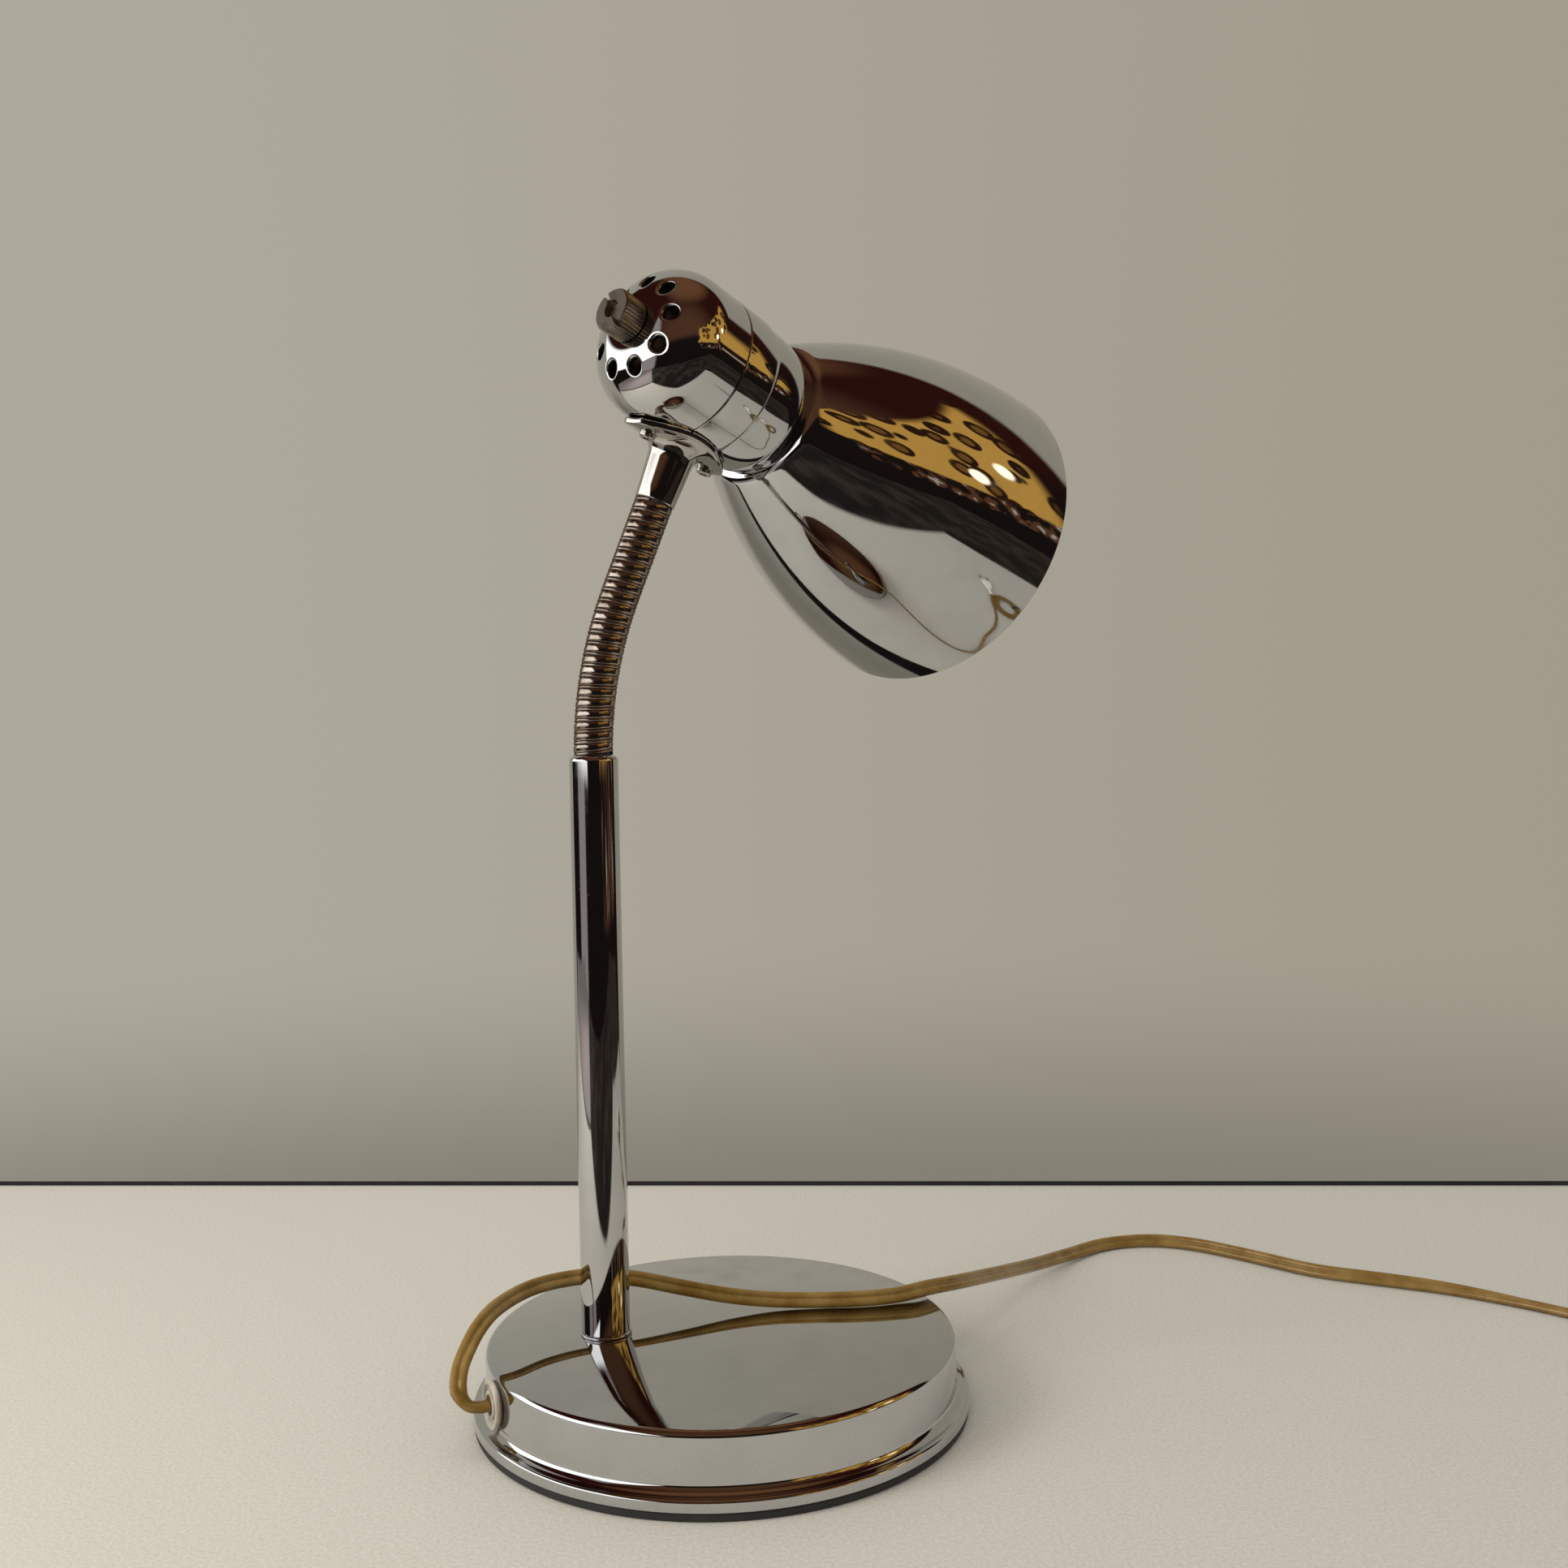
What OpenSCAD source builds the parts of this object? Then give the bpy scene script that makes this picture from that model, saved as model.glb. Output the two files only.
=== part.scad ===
// Gooseneck desk lamp: a round weighted base with a short straight stem, a flexible
// neck, and a spun shade whose vented cap carries a rotary switch.
// Millimetres, +Z up. The origin is the centre of the base's underside, on the table.
// The stem stands on the -X side of the base and the shade faces +X and +Y.

/* [Base] */
// Radius of the upright wall of the base
drum_r = 76.8; // [66:0.2:90]
// How far the foot lip stands out from the wall
lip_w = 4.2; // [3.9:0.1:8]
// Height of the foot lip
lip_h = 3.8; // [2.6:0.1:5]
// Radius of the hollow cove between the lip and the wall
cove_r = 2.8; // [1.5:0.1:2.9]
// Height of the polished top above the table
base_h = 24; // [23:0.5:40]
// Rounding of the top's edge
top_edge_r = 2; // [1.7:0.1:3]
// Sheet thickness of the pressed cover
cover_wall = 1.2; // [0.8:0.1:1.6]
// Thickness of the rubber pad under the base
pad_h = 2.6; // [2.4:0.1:4]
// Thickness of the cast weight
weight_h = 13.5; // [12:0.5:14]
// Thickness of the steel plate under the weight
plate_h = 1.2; // [0.8:0.1:1.6]
// Distance of the screws in the bottom plate from the base's centre
plate_screw_pitch_r = 52; // [40:1:60]

/* [Stem] */
// Distance of the stem from the centre of the base
stem_offset = 38.2; // [30:0.2:50]
// Outer radius of the stem tube
stem_r = 8; // [7.5:0.1:10]
// Wall of the stem tube
stem_wall = 1; // [0.8:0.1:1.2]
// Length of the stem tube from the foot ring to its crimped end
stem_len = 189.4; // [120:0.2:260]
// Rounding of the crimped end of the stem tube
crimp_r = 1.8; // [1.2:0.1:2]
// How far the foot ring stands out from the stem tube
foot_ring_w = 0.5; // [0.4:0.1:3]
// Height of the foot ring
foot_ring_h = 1.1; // [1:0.1:5]

/* [Neck] */
// Outer radius of the neck
neck_r = 6.5; // [6.3:0.1:6.8]
// Height of one wide band of the neck
band_h = 2.3; // [2.2:0.1:3]
// Height of the narrow bead between two bands
bead_h = 1.4; // [1.2:0.1:1.8]
// Open gap between two neighbouring links
link_gap = 1.28; // [1.28:0.04:1.6]
// How far the neck leans over at its top, in degrees
neck_lean = 21.4; // [0:0.2:30]
// Compass direction that the neck leans to, from +X towards +Y, in degrees
neck_yaw = 14.3; // [0:0.1:60]
// Share of the neck's links, counted from its foot, that takes up the lean
lean_share = 0.68; // [0.36:0.02:1]
// Radius of the passage for the lead through the neck
lead_bore_r = 4.2; // [3.8:0.1:4.3]

/* [Head] */
// Turn of the shade about the top of the neck, in degrees
head_turn = 33.3; // [0:0.1:60]
// Length of the tapered connector between the neck and the cap
connector_h = 21; // [18:0.5:40]
// Radius of the connector below the saddle
connector_top_r = 7.6; // [7.2:0.1:9]
// Radius of the rear cap and of the shade's sleeve
cap_r = 25.5; // [25.2:0.1:30]
// Sheet thickness of the cap and of the shade
shell_wall = 1; // [0.8:0.1:1.1]
// Length of the straight part of the cap
cap_straight = 11.5; // [10:0.5:20]
// Rounding of the cap's end
cap_round_r = 17.5; // [16:0.5:18]
// Distance of the seam between the cap and the shade behind the neck's axis
seam_back = 5; // [4.8:0.2:7]
// Number of vent holes in the cap's end
vent_count = 9; // [4:1:9]
// Radius of a vent hole
vent_r = 2.6; // [1.5:0.1:3]
// Radius of the circle of vent holes
vent_ring_r = 15.3; // [14.6:0.1:17]
// Length of the saddle that clamps the cap and the sleeve
saddle_len = 41; // [38:0.5:46]
// Width of the saddle
saddle_w = 25; // [22:0.5:30]
// Thickness of the saddle
saddle_wall = 2; // [1.5:0.1:2.6]

/* [Shade] */
// Length of the sleeve, from the seam to its step
sleeve_len = 14.2; // [13:0.2:15]
// Radius of the collar next to the sleeve
collar_r = 24.6; // [24.5:0.1:24.8]
// Radius of the collar where it is turned in to meet the bell
collar_end_r = 22.5; // [22.3:0.1:22.8]
// Length of the collar
collar_len = 18.5; // [18:0.5:24]
// Radius of the bell where it springs from the collar
shoulder_r = 26.3; // [25.5:0.1:28]
// Length of the bell, from its shoulder to its mouth
bell_len = 104.3; // [102:0.1:130]
// Radius of the bell at its mouth
mouth_r = 60.7; // [55:0.1:75]

/* [Switch and lampholder] */
// Radius of the switch knob
knob_r = 7.2; // [6.9:0.1:9]
// Length of the switch knob
knob_len = 8.4; // [7.5:0.1:14]
// Number of ribs round the knob
knob_ribs = 40; // [20:1:60]
// Width of the slot across the knob
knob_slot_w = 1.8; // [1:0.1:2.5]
// Radius of the switch shaft
shaft_r = 2.9; // [2:0.1:3]
// Outer radius of the lampholder
holder_r = 18.5; // [17.5:0.1:18.6]
// Length of the lampholder in front of the carrier's web
holder_len = 30; // [28:0.5:32]
// Radius of the screw shell that takes the lamp
shell_bore_r = 13.5; // [13.4:0.05:13.6]
// Radius of the lamp's glass at its widest
bulb_r = 29; // [22:0.5:30]
// Length of the lamp's glass
bulb_len = 76; // [60:1:80]

/* [Cord] */
// Width of the flat twin cord
cord_w = 5.4; // [5:0.1:5.8]
// Thickness of the flat twin cord
cord_h = 2.8; // [2.4:0.1:3]
// Radius of the grommet's flange
grommet_r = 7.7; // [6.8:0.1:7.7]
// Height of the grommet above the table
grommet_z = 15.5; // [15.5:0.1:16]
// Compass direction of the grommet, from +X towards +Y, in degrees
cord_angle = 207; // [200:1:214]

/* [Hidden] */
$fn = 64;

// Clearances between pieces that fit together
slip = 0.1;
seat = 0.3;
running = 0.06;

// Base, from the table upwards
foot_r = drum_r + lip_w;
lip_edge_r = 1;
lip_top = pad_h + lip_h;
cove_top = lip_top + cove_r;
plate_top = pad_h + plate_h;
plate_r = foot_r - cover_wall - seat;
cover_under = base_h - cover_wall;
weight_z = cover_under - weight_h;
weight_r = drum_r - cover_wall - 3;
boss_r = 6;
plate_screws = 3;
plate_screw_r = 1.6;
plate_head_r = 3.6;
plate_head_h = 1.8;
plate_screw_len = 12;

// Fixing of the stem under the cover
nipple_r = 5;
nipple_bore_r = 3.6;
nipple_rise = 14;
pocket_r = 15;
pocket_h = 9;
washer_r = 11;
washer_h = 1.2;
nut_h = 5;
nut_flat = 15;
channel_w = 12;
clip_len = 28;
clip_w = 9;
clip_h = 1.2;
clip_from_stem = drum_r / 3;
clip_screw_pitch = 20;
clip_screw_r = 1.5;
clip_head_r = 2.8;
clip_head_h = 1.4;
clip_screw_len = 8;

// Grommet: an outer flange, a neck through the wall and a snap rim inside
grommet_neck_r = 5.2;
grommet_snap_r = 5.9;
grommet_snap_h = 2;
flange_h = 2.2;
flange_back_edge = 1;
flange_off = drum_r + 0.05;
cord_out = [cos(cord_angle), sin(cord_angle), 0];
cord_exit = (flange_off + flange_h) * cord_out + [0, 0, grommet_z];

// Stem
stem_x = -stem_offset;
stem_z = base_h + foot_ring_h;
stem_top = stem_z + stem_len;
stem_bore_r = stem_r - stem_wall;
crimp_bore_r = stem_r - crimp_r - 0.6;
bush_h = 16;
ferrule_plug_h = 12;

// Neck: every link carries a ball on top and a socket below, centred on the hinges
neck_links = 11;
ball_r = neck_r - 0.6;
socket_r = ball_r + slip;
ball_rise = 3.2;
band_edge = 0.3;
link_h = 2 * band_h + bead_h;
link_pitch = link_h + link_gap;
neck_foot_z = stem_top + 0.2 + band_h + link_gap / 2;

// Tilt of link i, and where its lower hinge is, as [distance from the stem, height]
function link_tilt(i) = neck_lean * min(1, (i + 1) / (lean_share * neck_links));
function link_at(i) = i == 0
    ? [0, neck_foot_z]
    : link_at(i - 1) + link_pitch * [sin(link_tilt(i - 1)), cos(link_tilt(i - 1))];

// Head: the shade's axis is local X and crosses the neck's axis at the local origin
head_rise = link_gap / 2 + band_h + connector_h + cap_r;
cap_bore_r = cap_r - shell_wall;
cap_end = seam_back + cap_straight + cap_round_r;
vent_turn = -7;
bushing_r = 5;
switch_nut_r = 5.8;
switch_nut_h = 2;
switch_body_r = 13;
switch_neck_r = 8;
switch_neck_h = 2;
switch_body_h = 12;
terminal_r = 2.4;
terminal_h = 1.6;
terminal_pitch = 12;
knob_gap = 0.4;
knob_rib_depth = 0.35;
knob_chamfer = 0.7;
knob_slot_h = 2.2;
knob_slot_turn = 42;
saddle_screw_r = 1.5;
saddle_head_r = 2.7;
saddle_head_h = 1.9;
saddle_screw_reach = 4;
// Depth of the flat seats cut into the saddle for the screws' heads
spot_face = 0.2;
saddle_end_r = saddle_len / 2;
saddle_side_r = saddle_len * 0.68;
// The two saddle screws stand behind and in front of the neck's axis
saddle_screw_xs = [-0.3 * saddle_len, 0.38 * saddle_len];
// Cross recess in a saddle screw's head
recess_len = 3;
recess_w = 0.7;
recess_h = 1;
flare_r = 4;
connector_step = 0.25;
lead_hole_r = 3.5;

// Shade, by its distance in front of the neck's axis
seam_gap = 0.3;
sleeve_x = seam_gap - seam_back;
step_x = sleeve_len - seam_back;
step_len = 1.5;
step_round_r = 0.9;
collar_x = step_x + step_len;
crease_x = collar_x + collar_len;
bell_x = crease_x + 2;
mouth_x = bell_x + bell_len;

// Carrier: a stepped collar inside the cap, the sleeve and the shade's collar
carrier_wall = 1.2;
carrier_r = cap_bore_r - 0.2;
carrier_back = seam_back + cap_straight + 1.5;
web_h = 1.4;
web_x = step_x - 0.4;
carrier_front_len = 10;
carrier_front_x = collar_x + 0.6;

// Inside radius of the collar, which curves in more and more towards the bell
function collar_bore_r(x) = collar_r - shell_wall
    - (collar_r - collar_end_r) * pow((x - collar_x) / collar_len, 3);

// Lampholder and lamp
holder_flange_r = 21.4;
holder_flange_h = 3.5;
holder_back_r = 17;
holder_back_h = 12;
holder_ring_r = 20.8;
holder_ring_h = 5;
holder_bore_r = shell_bore_r + 1.2;
holder_floor = web_x + web_h;
shell_h = 26;
contact_r = 3.5;
contact_h = 2.6;
bulb_cap_r = shell_bore_r - 0.3;
bulb_tip_x = holder_floor + contact_h + slip;
bulb_contact_r = 4.7;
bulb_contact_h = 1.6;
bulb_insulator_h = 3;
bulb_cap_x = bulb_tip_x + bulb_contact_h + bulb_insulator_h;
bulb_cap_h = 21;
bulb_glass_x = bulb_cap_x + bulb_cap_h;
bulb_wall = 1;
bulb_neck_r = bulb_cap_r - 0.4;

// Cord: it lies cord_h / 2 above what carries it, and the coil lies on its tie
tie_h = 0.6;
coil_mean_r = 29.7;
// Turns side by side in a layer; each winds in by one cord width on its way round
coil_rows = 3;
coil_layers = 2;
coil_centre = [368, 50];
coil_width = (coil_rows + 1) * cord_w;
coil_z = tie_h;
coil_h = coil_layers * cord_h;
coil_in_r = coil_mean_r - coil_width / 2;
coil_out_r = coil_mean_r + coil_width / 2;
tie_angle = 20;
tie_w = 8;
tie_slack = 0.6;

// Plug: a flat two-pin body that lies on the table beside the coil
plug_at = [355.5, 7.5];
plug_turn = -48;
plug_len = 34;
plug_h = 13;
plug_w = 25;
plug_nose_w = 15;
plug_z = plug_h / 2;
relief_len = 20;
relief_r = 4.4;
pin_r = 2.2;
pin_len = 19;
pin_pitch = 18.6;

// Route of the cord that lies free: out of the grommet, up over the base behind the
// stem, down its far edge and along the table to the coil
cord_route = [
    cord_exit, cord_exit + 1.2 * cord_out, cord_exit + 2.6 * cord_out,
    [-76.2, -38.4, 16.6], [-79.2, -37.5, 20.5], [-79.8, -32.5, 25],
    [-78.2, -26.5, 29.5], [-75.6, -19.5, 33.5], [-71.5, -10, 36], [-64, 3, 36.8],
    [-54, 11.5, 36.8], [-42, 16, 36.4], [-29, 17.3, 34.6], [-14, 17.8, 31.2],
    [2, 18.6, 27.8], [17, 19.2, 26], [32, 19.2, 25.5], [46, 19.8, 25.5],
    [59, 22.5, 25.5], [71, 29.5, 25.5], [83, 42, 23], [94, 60, 18.5],
    [106, 82, 12.8], [120, 107, 6.6], [137, 130, 2.5], [156, 146, 1.5],
    [176, 150, 1.5], [194, 143.5, 1.5], [213, 127.5, 1.5], [232, 109.5, 1.5],
    [254, 98, 1.5], [275, 88, 1.5], [294, 75, 1.5], [311, 60, 1.5],
    [326, 43, 1.6], [339.9, 24.7, 2]
];

// End of the cord, from the top of the coil into the plug
tail_route = [[339.9, 24.7, 4.8], [345, 19, 5.3], [350.3, 13.2, 6.1], [355.5, 7.5, 6.5]];

// Points of an arc about c, from angle a0 to angle a1
function arc(c, r, a0, a1, n = 8) =
    [for (i = [0:n]) c + r * [cos(a0 + (a1 - a0) * i / n), sin(a0 + (a1 - a0) * i / n)]];

function unit(v) = v / norm(v);

// Point on a smooth curve through the route's points, s of the way from point i to i + 1
function on_route(p, i, s) =
    let (
        n = len(p) - 1,
        a = p[max(i - 1, 0)],
        b = p[i],
        c = p[min(i + 1, n)],
        d = p[min(i + 2, n)]
    )
    b + 0.5 * s * (c - a + s * (2 * a - 5 * b + 4 * c - d + s * (3 * b - a - 3 * c + d)));

function smooth_route(p, steps) = concat(
    [for (i = [0:len(p) - 2]) for (k = [0:steps - 1]) on_route(p, i, k / steps)],
    [p[len(p) - 1]]
);

// Direction of a route at point i, and the flat cord's wide direction there
function heading(p, i) = unit(p[min(i + 1, len(p) - 1)] - p[max(i - 1, 0)]);
function wide_way(t, across) = across == [0, 0, 0]
    ? unit(cross(t, [0, 0, 1]))
    : unit(across - (across * t) * t);

// Flat cord swept along a route; across is its wide direction where the route climbs
module flat_cord(route, steps = 1, w = cord_w, h = cord_h, across = [0, 0, 0]) {
    sides = 8;
    p = smooth_route(route, steps);
    rings = [
        for (i = [0:len(p) - 1])
            let (t = heading(p, i), side = wide_way(t, across), up = cross(side, t))
            for (k = [0:sides - 1])
                let (a = 360 * (k + 0.5) / sides, grow = 0.5 / cos(180 / sides))
                p[i] + side * w * grow * cos(a) + up * h * grow * sin(a)
    ];
    last = (len(p) - 1) * sides;
    faces = concat(
        [[for (k = [0:sides - 1]) k]],
        [
            for (i = [0:len(p) - 2]) for (k = [0:sides - 1])
                let (a = i * sides + k, b = i * sides + (k + 1) % sides)
                [a, a + sides, b + sides, b]
        ],
        [[for (k = [sides - 1:-1:0]) last + k]]
    );
    polyhedron(points = rings, faces = faces, convexity = 4);
}

// ---------------------------------------------------------------- frames

module at_stem() {
    translate([stem_x, 0, 0]) children();
}

module at_link(i) {
    at_stem() rotate([0, 0, neck_yaw])
        translate([link_at(i)[0], 0, link_at(i)[1]])
            rotate([0, link_tilt(i), 0]) children();
}

module at_head() {
    at_link(neck_links) translate([0, 0, head_rise]) rotate([0, 0, head_turn]) children();
}

// Revolves a profile of [radius, distance along the shade's axis] points
module head_spin(points) {
    rotate([0, 90, 0]) rotate_extrude() polygon(points);
}

// Cylinder along the shade's axis, from x0 to x1
module head_rod(r, x0, x1) {
    translate([x0, 0, 0]) rotate([0, 90, 0]) cylinder(r = r, h = x1 - x0);
}

module at_grommet(d) {
    rotate([0, 0, cord_angle]) translate([d, 0, grommet_z]) rotate([0, 90, 0]) children();
}

module at_plate_screws() {
    for (i = [0:plate_screws - 1])
        rotate([0, 0, 360 * i / plate_screws])
            translate([plate_screw_pitch_r, 0, 0]) children();
}

// The cord's channel runs from the stem to the grommet
grommet_xy = (drum_r - cover_wall) * [cos(cord_angle), sin(cord_angle)];
channel_dir = grommet_xy - [stem_x, 0];
channel_angle = atan2(channel_dir[1], channel_dir[0]);

module at_channel() {
    at_stem() rotate([0, 0, channel_angle]) children();
}

// ---------------------------------------------------------------- base

module base_cover() {
    cove_c = [drum_r + cove_r, cove_top];
    edge_c = [drum_r - top_edge_r, base_h - top_edge_r];
    lip_c = [foot_r - lip_edge_r, lip_top - lip_edge_r];
    outside = concat(
        [[0, base_h]],
        arc(edge_c, top_edge_r, 90, 0),
        arc(cove_c, cove_r, 180, 270),
        arc(lip_c, lip_edge_r, 90, 0, 4),
        [[foot_r, pad_h], [foot_r - cover_wall, pad_h]]
    );
    inside = concat(
        [[foot_r - cover_wall, lip_top - cover_wall]],
        arc(cove_c, cove_r + cover_wall, 270, 180),
        arc(edge_c, top_edge_r - cover_wall, 0, 90, 4),
        [[0, cover_under]]
    );
    color("gainsboro") difference() {
        rotate_extrude($fn = 128) polygon(concat(outside, inside));
        at_stem() cylinder(r = nipple_r + slip, h = base_h + 1);
        at_grommet(drum_r - 6) cylinder(r = grommet_neck_r + slip, h = 12);
    }
}

module base_weight() {
    color("dimgray") difference() {
        union() {
            translate([0, 0, weight_z]) cylinder(r = weight_r, h = weight_h);
            at_plate_screws() translate([0, 0, plate_top])
                cylinder(r = boss_r, h = weight_z - plate_top + 1);
        }
        at_stem() {
            translate([0, 0, weight_z - 1]) cylinder(r = pocket_r, h = pocket_h + 1);
            cylinder(r = nipple_r + slip, h = base_h);
        }
        at_channel() translate([0, -channel_w / 2, weight_z - 1])
            cube([drum_r, channel_w, pocket_h + 1]);
        at_plate_screws() cylinder(r = plate_screw_r + slip, h = pad_h + plate_screw_len + 1);
        at_channel() for (side = [-1, 1])
            translate([clip_from_stem, side * clip_screw_pitch / 2, weight_z - 1])
                cylinder(r = clip_screw_r + slip, h = clip_screw_len + 1);
    }
}

module bottom_plate() {
    color("silver") difference() {
        translate([0, 0, pad_h]) cylinder(r = plate_r, h = plate_h);
        at_plate_screws() cylinder(r = plate_screw_r + seat, h = base_h);
    }
}

module bottom_plate_screws() {
    color("silver") at_plate_screws() {
        translate([0, 0, pad_h - plate_head_h]) cylinder(r = plate_head_r, h = plate_head_h);
        translate([0, 0, pad_h - slip]) cylinder(r = plate_screw_r, h = plate_screw_len);
    }
}

module foot_pad() {
    color([0.09, 0.09, 0.09]) difference() {
        cylinder(r = foot_r - seat, h = pad_h, $fn = 128);
        at_plate_screws() translate([0, 0, -1]) cylinder(r = plate_head_r + 0.6, h = pad_h + 2);
    }
}

module cord_grommet() {
    flange_face = flange_off + flange_h;
    snap_from = drum_r - cover_wall - seat - grommet_snap_h;
    color([0.93, 0.92, 0.87]) difference() {
        union() {
            at_grommet(flange_off) rotate_extrude() polygon(concat(
                [[0, 0], [grommet_r - flange_back_edge, 0], [grommet_r, flange_back_edge]],
                arc([grommet_r - 0.6, flange_h - 0.6], 0.6, 0, 90, 4),
                [[0, flange_h]]
            ));
            at_grommet(snap_from) cylinder(r = grommet_neck_r, h = flange_off + 1 - snap_from);
            at_grommet(snap_from) cylinder(r = grommet_snap_r, h = grommet_snap_h);
        }
        at_grommet(snap_from - 1) cylinder(r = cord_w / 2 + seat, h = flange_face + 2 - snap_from);
        // Dished face round the cord
        at_grommet(flange_face - 0.8) cylinder(r = grommet_r - 2.2, h = 2);
    }
}

module cord_clip() {
    color("silver") difference() {
        at_channel() translate([clip_from_stem - clip_w / 2, -clip_len / 2, weight_z - clip_h])
            cube([clip_w, clip_len, clip_h]);
        at_channel() for (side = [-1, 1])
            translate([clip_from_stem, side * clip_screw_pitch / 2, 0])
                cylinder(r = clip_screw_r + slip, h = base_h);
    }
}

module cord_clip_screws() {
    color("silver") at_channel() for (side = [-1, 1])
        translate([clip_from_stem, side * clip_screw_pitch / 2, weight_z - clip_h]) {
            translate([0, 0, -clip_head_h]) cylinder(r = clip_head_r, h = clip_head_h);
            translate([0, 0, -slip]) cylinder(r = clip_screw_r, h = clip_screw_len);
        }
}

// ---------------------------------------------------------------- stem

pocket_top = weight_z + pocket_h;
nut_z = pocket_top - washer_h - nut_h;
nipple_z = nut_z - 1;

module stem_nipple() {
    color("goldenrod") at_stem() translate([0, 0, nipple_z]) difference() {
        cylinder(r = nipple_r, h = stem_z + nipple_rise - nipple_z);
        translate([0, 0, -1]) cylinder(r = nipple_bore_r, h = stem_len);
    }
}

module stem_nut() {
    color("silver") at_stem() translate([0, 0, nut_z]) difference() {
        cylinder(r = nut_flat / 2 / cos(30), h = nut_h, $fn = 6);
        translate([0, 0, -1]) cylinder(r = nipple_r + slip, h = nut_h + 2);
    }
}

module stem_washer() {
    color("silver") at_stem() translate([0, 0, pocket_top - washer_h]) difference() {
        cylinder(r = washer_r, h = washer_h);
        translate([0, 0, -1]) cylinder(r = nipple_r + slip, h = washer_h + 2);
    }
}

module foot_ring() {
    ring_r = stem_r + foot_ring_w;
    round_r = foot_ring_h / 2;
    color("gainsboro") at_stem() translate([0, 0, base_h]) rotate_extrude() polygon(concat(
        [[nipple_r + slip, 0]],
        arc([ring_r - round_r, round_r], round_r, -90, 90),
        [[nipple_r + slip, foot_ring_h]]
    ));
}

module stem_foot_bush() {
    color("goldenrod") at_stem() translate([0, 0, stem_z]) difference() {
        cylinder(r = stem_bore_r - slip, h = bush_h);
        translate([0, 0, -1]) cylinder(r = nipple_r + slip, h = bush_h + 2);
    }
}

module stem_tube() {
    color("gainsboro") at_stem() rotate_extrude() polygon(concat(
        [[stem_bore_r, stem_z], [stem_r, stem_z]],
        arc([stem_r - crimp_r, stem_top - crimp_r], crimp_r, 0, 90),
        [
            [crimp_bore_r, stem_top],
            [crimp_bore_r, stem_top - stem_wall],
            [stem_bore_r, stem_top - crimp_r - stem_wall / 2]
        ]
    ));
}

// Zone of a ball centred on a hinge, standing on the link below
module hinge_ball() {
    intersection() {
        sphere(r = ball_r);
        translate([0, 0, -link_gap / 2 - 0.1])
            cylinder(r = neck_r, h = link_gap / 2 + 0.1 + ball_rise);
    }
}

// One wide band of the neck, with eased edges
module neck_band() {
    rotate_extrude() polygon([
        [0, 0], [neck_r - band_edge, 0], [neck_r, band_edge],
        [neck_r, band_h - band_edge], [neck_r - band_edge, band_h], [0, band_h]
    ]);
}

module stem_ferrule() {
    plug_top = stem_top - crimp_r - stem_wall / 2 - seat;
    band_z = neck_foot_z - link_gap / 2 - band_h;
    color("silver") at_stem() difference() {
        union() {
            translate([0, 0, plug_top - ferrule_plug_h])
                cylinder(r = stem_bore_r - slip, h = ferrule_plug_h);
            translate([0, 0, plug_top - 1])
                cylinder(r = crimp_bore_r - slip, h = band_z + 2 - plug_top);
            translate([0, 0, band_z]) neck_band();
            translate([0, 0, neck_foot_z]) hinge_ball();
        }
        cylinder(r = lead_bore_r, h = neck_foot_z + ball_r);
    }
}

// Lead inside the base and the stem, from the grommet to the foot of the neck
module stem_lead() {
    face = flange_off + flange_h;
    function inward(d, z) = [d * cos(cord_angle), d * sin(cord_angle), z];
    inner = inward(drum_r - 9, grommet_z);
    foot = [stem_x, 0, 0];
    function between(s, z) = [
        inner[0] + (foot[0] - inner[0]) * s,
        inner[1] + (foot[1] - inner[1]) * s,
        z
    ];
    low = weight_z - cord_h;
    route = [
        inward(face, grommet_z), inward(drum_r - 2, grommet_z), inner,
        between(0.25, weight_z + 3.4), between(0.5, weight_z + cord_h / 2 + seat),
        between(0.72, low + 0.6), between(0.88, low + 0.6), between(0.98, nipple_z - 2),
        [stem_x, 0, nipple_z + 1], [stem_x, 0, nipple_z + 10],
        [stem_x, 0, stem_z + stem_len / 3], [stem_x, 0, stem_z + stem_len * 2 / 3],
        [stem_x, 0, stem_top - 4]
    ];
    side = [-sin(channel_angle), cos(channel_angle), 0];
    color("goldenrod") flat_cord(route, steps = 3, across = side);
}

// ---------------------------------------------------------------- neck

module neck_link(i) {
    color("silver") at_link(i) difference() {
        union() {
            translate([0, 0, link_gap / 2]) {
                neck_band();
                // Bead between the two bands
                translate([0, 0, band_h]) rotate_extrude() polygon(concat(
                    [[0, -0.1]],
                    arc([neck_r - 0.4 - bead_h / 2, bead_h / 2], bead_h / 2, -90, 90, 6),
                    [[0, bead_h + 0.1]]
                ));
                translate([0, 0, band_h + bead_h]) neck_band();
            }
            translate([0, 0, link_pitch]) hinge_ball();
        }
        sphere(r = socket_r);
        cylinder(r = lead_bore_r, h = 2 * link_pitch);
    }
}

module saddle_outline() {
    intersection() {
        circle(r = saddle_end_r);
        for (side = [-1, 1])
            translate([0, side * (saddle_w / 2 - saddle_side_r)]) circle(r = saddle_side_r);
    }
}

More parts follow.
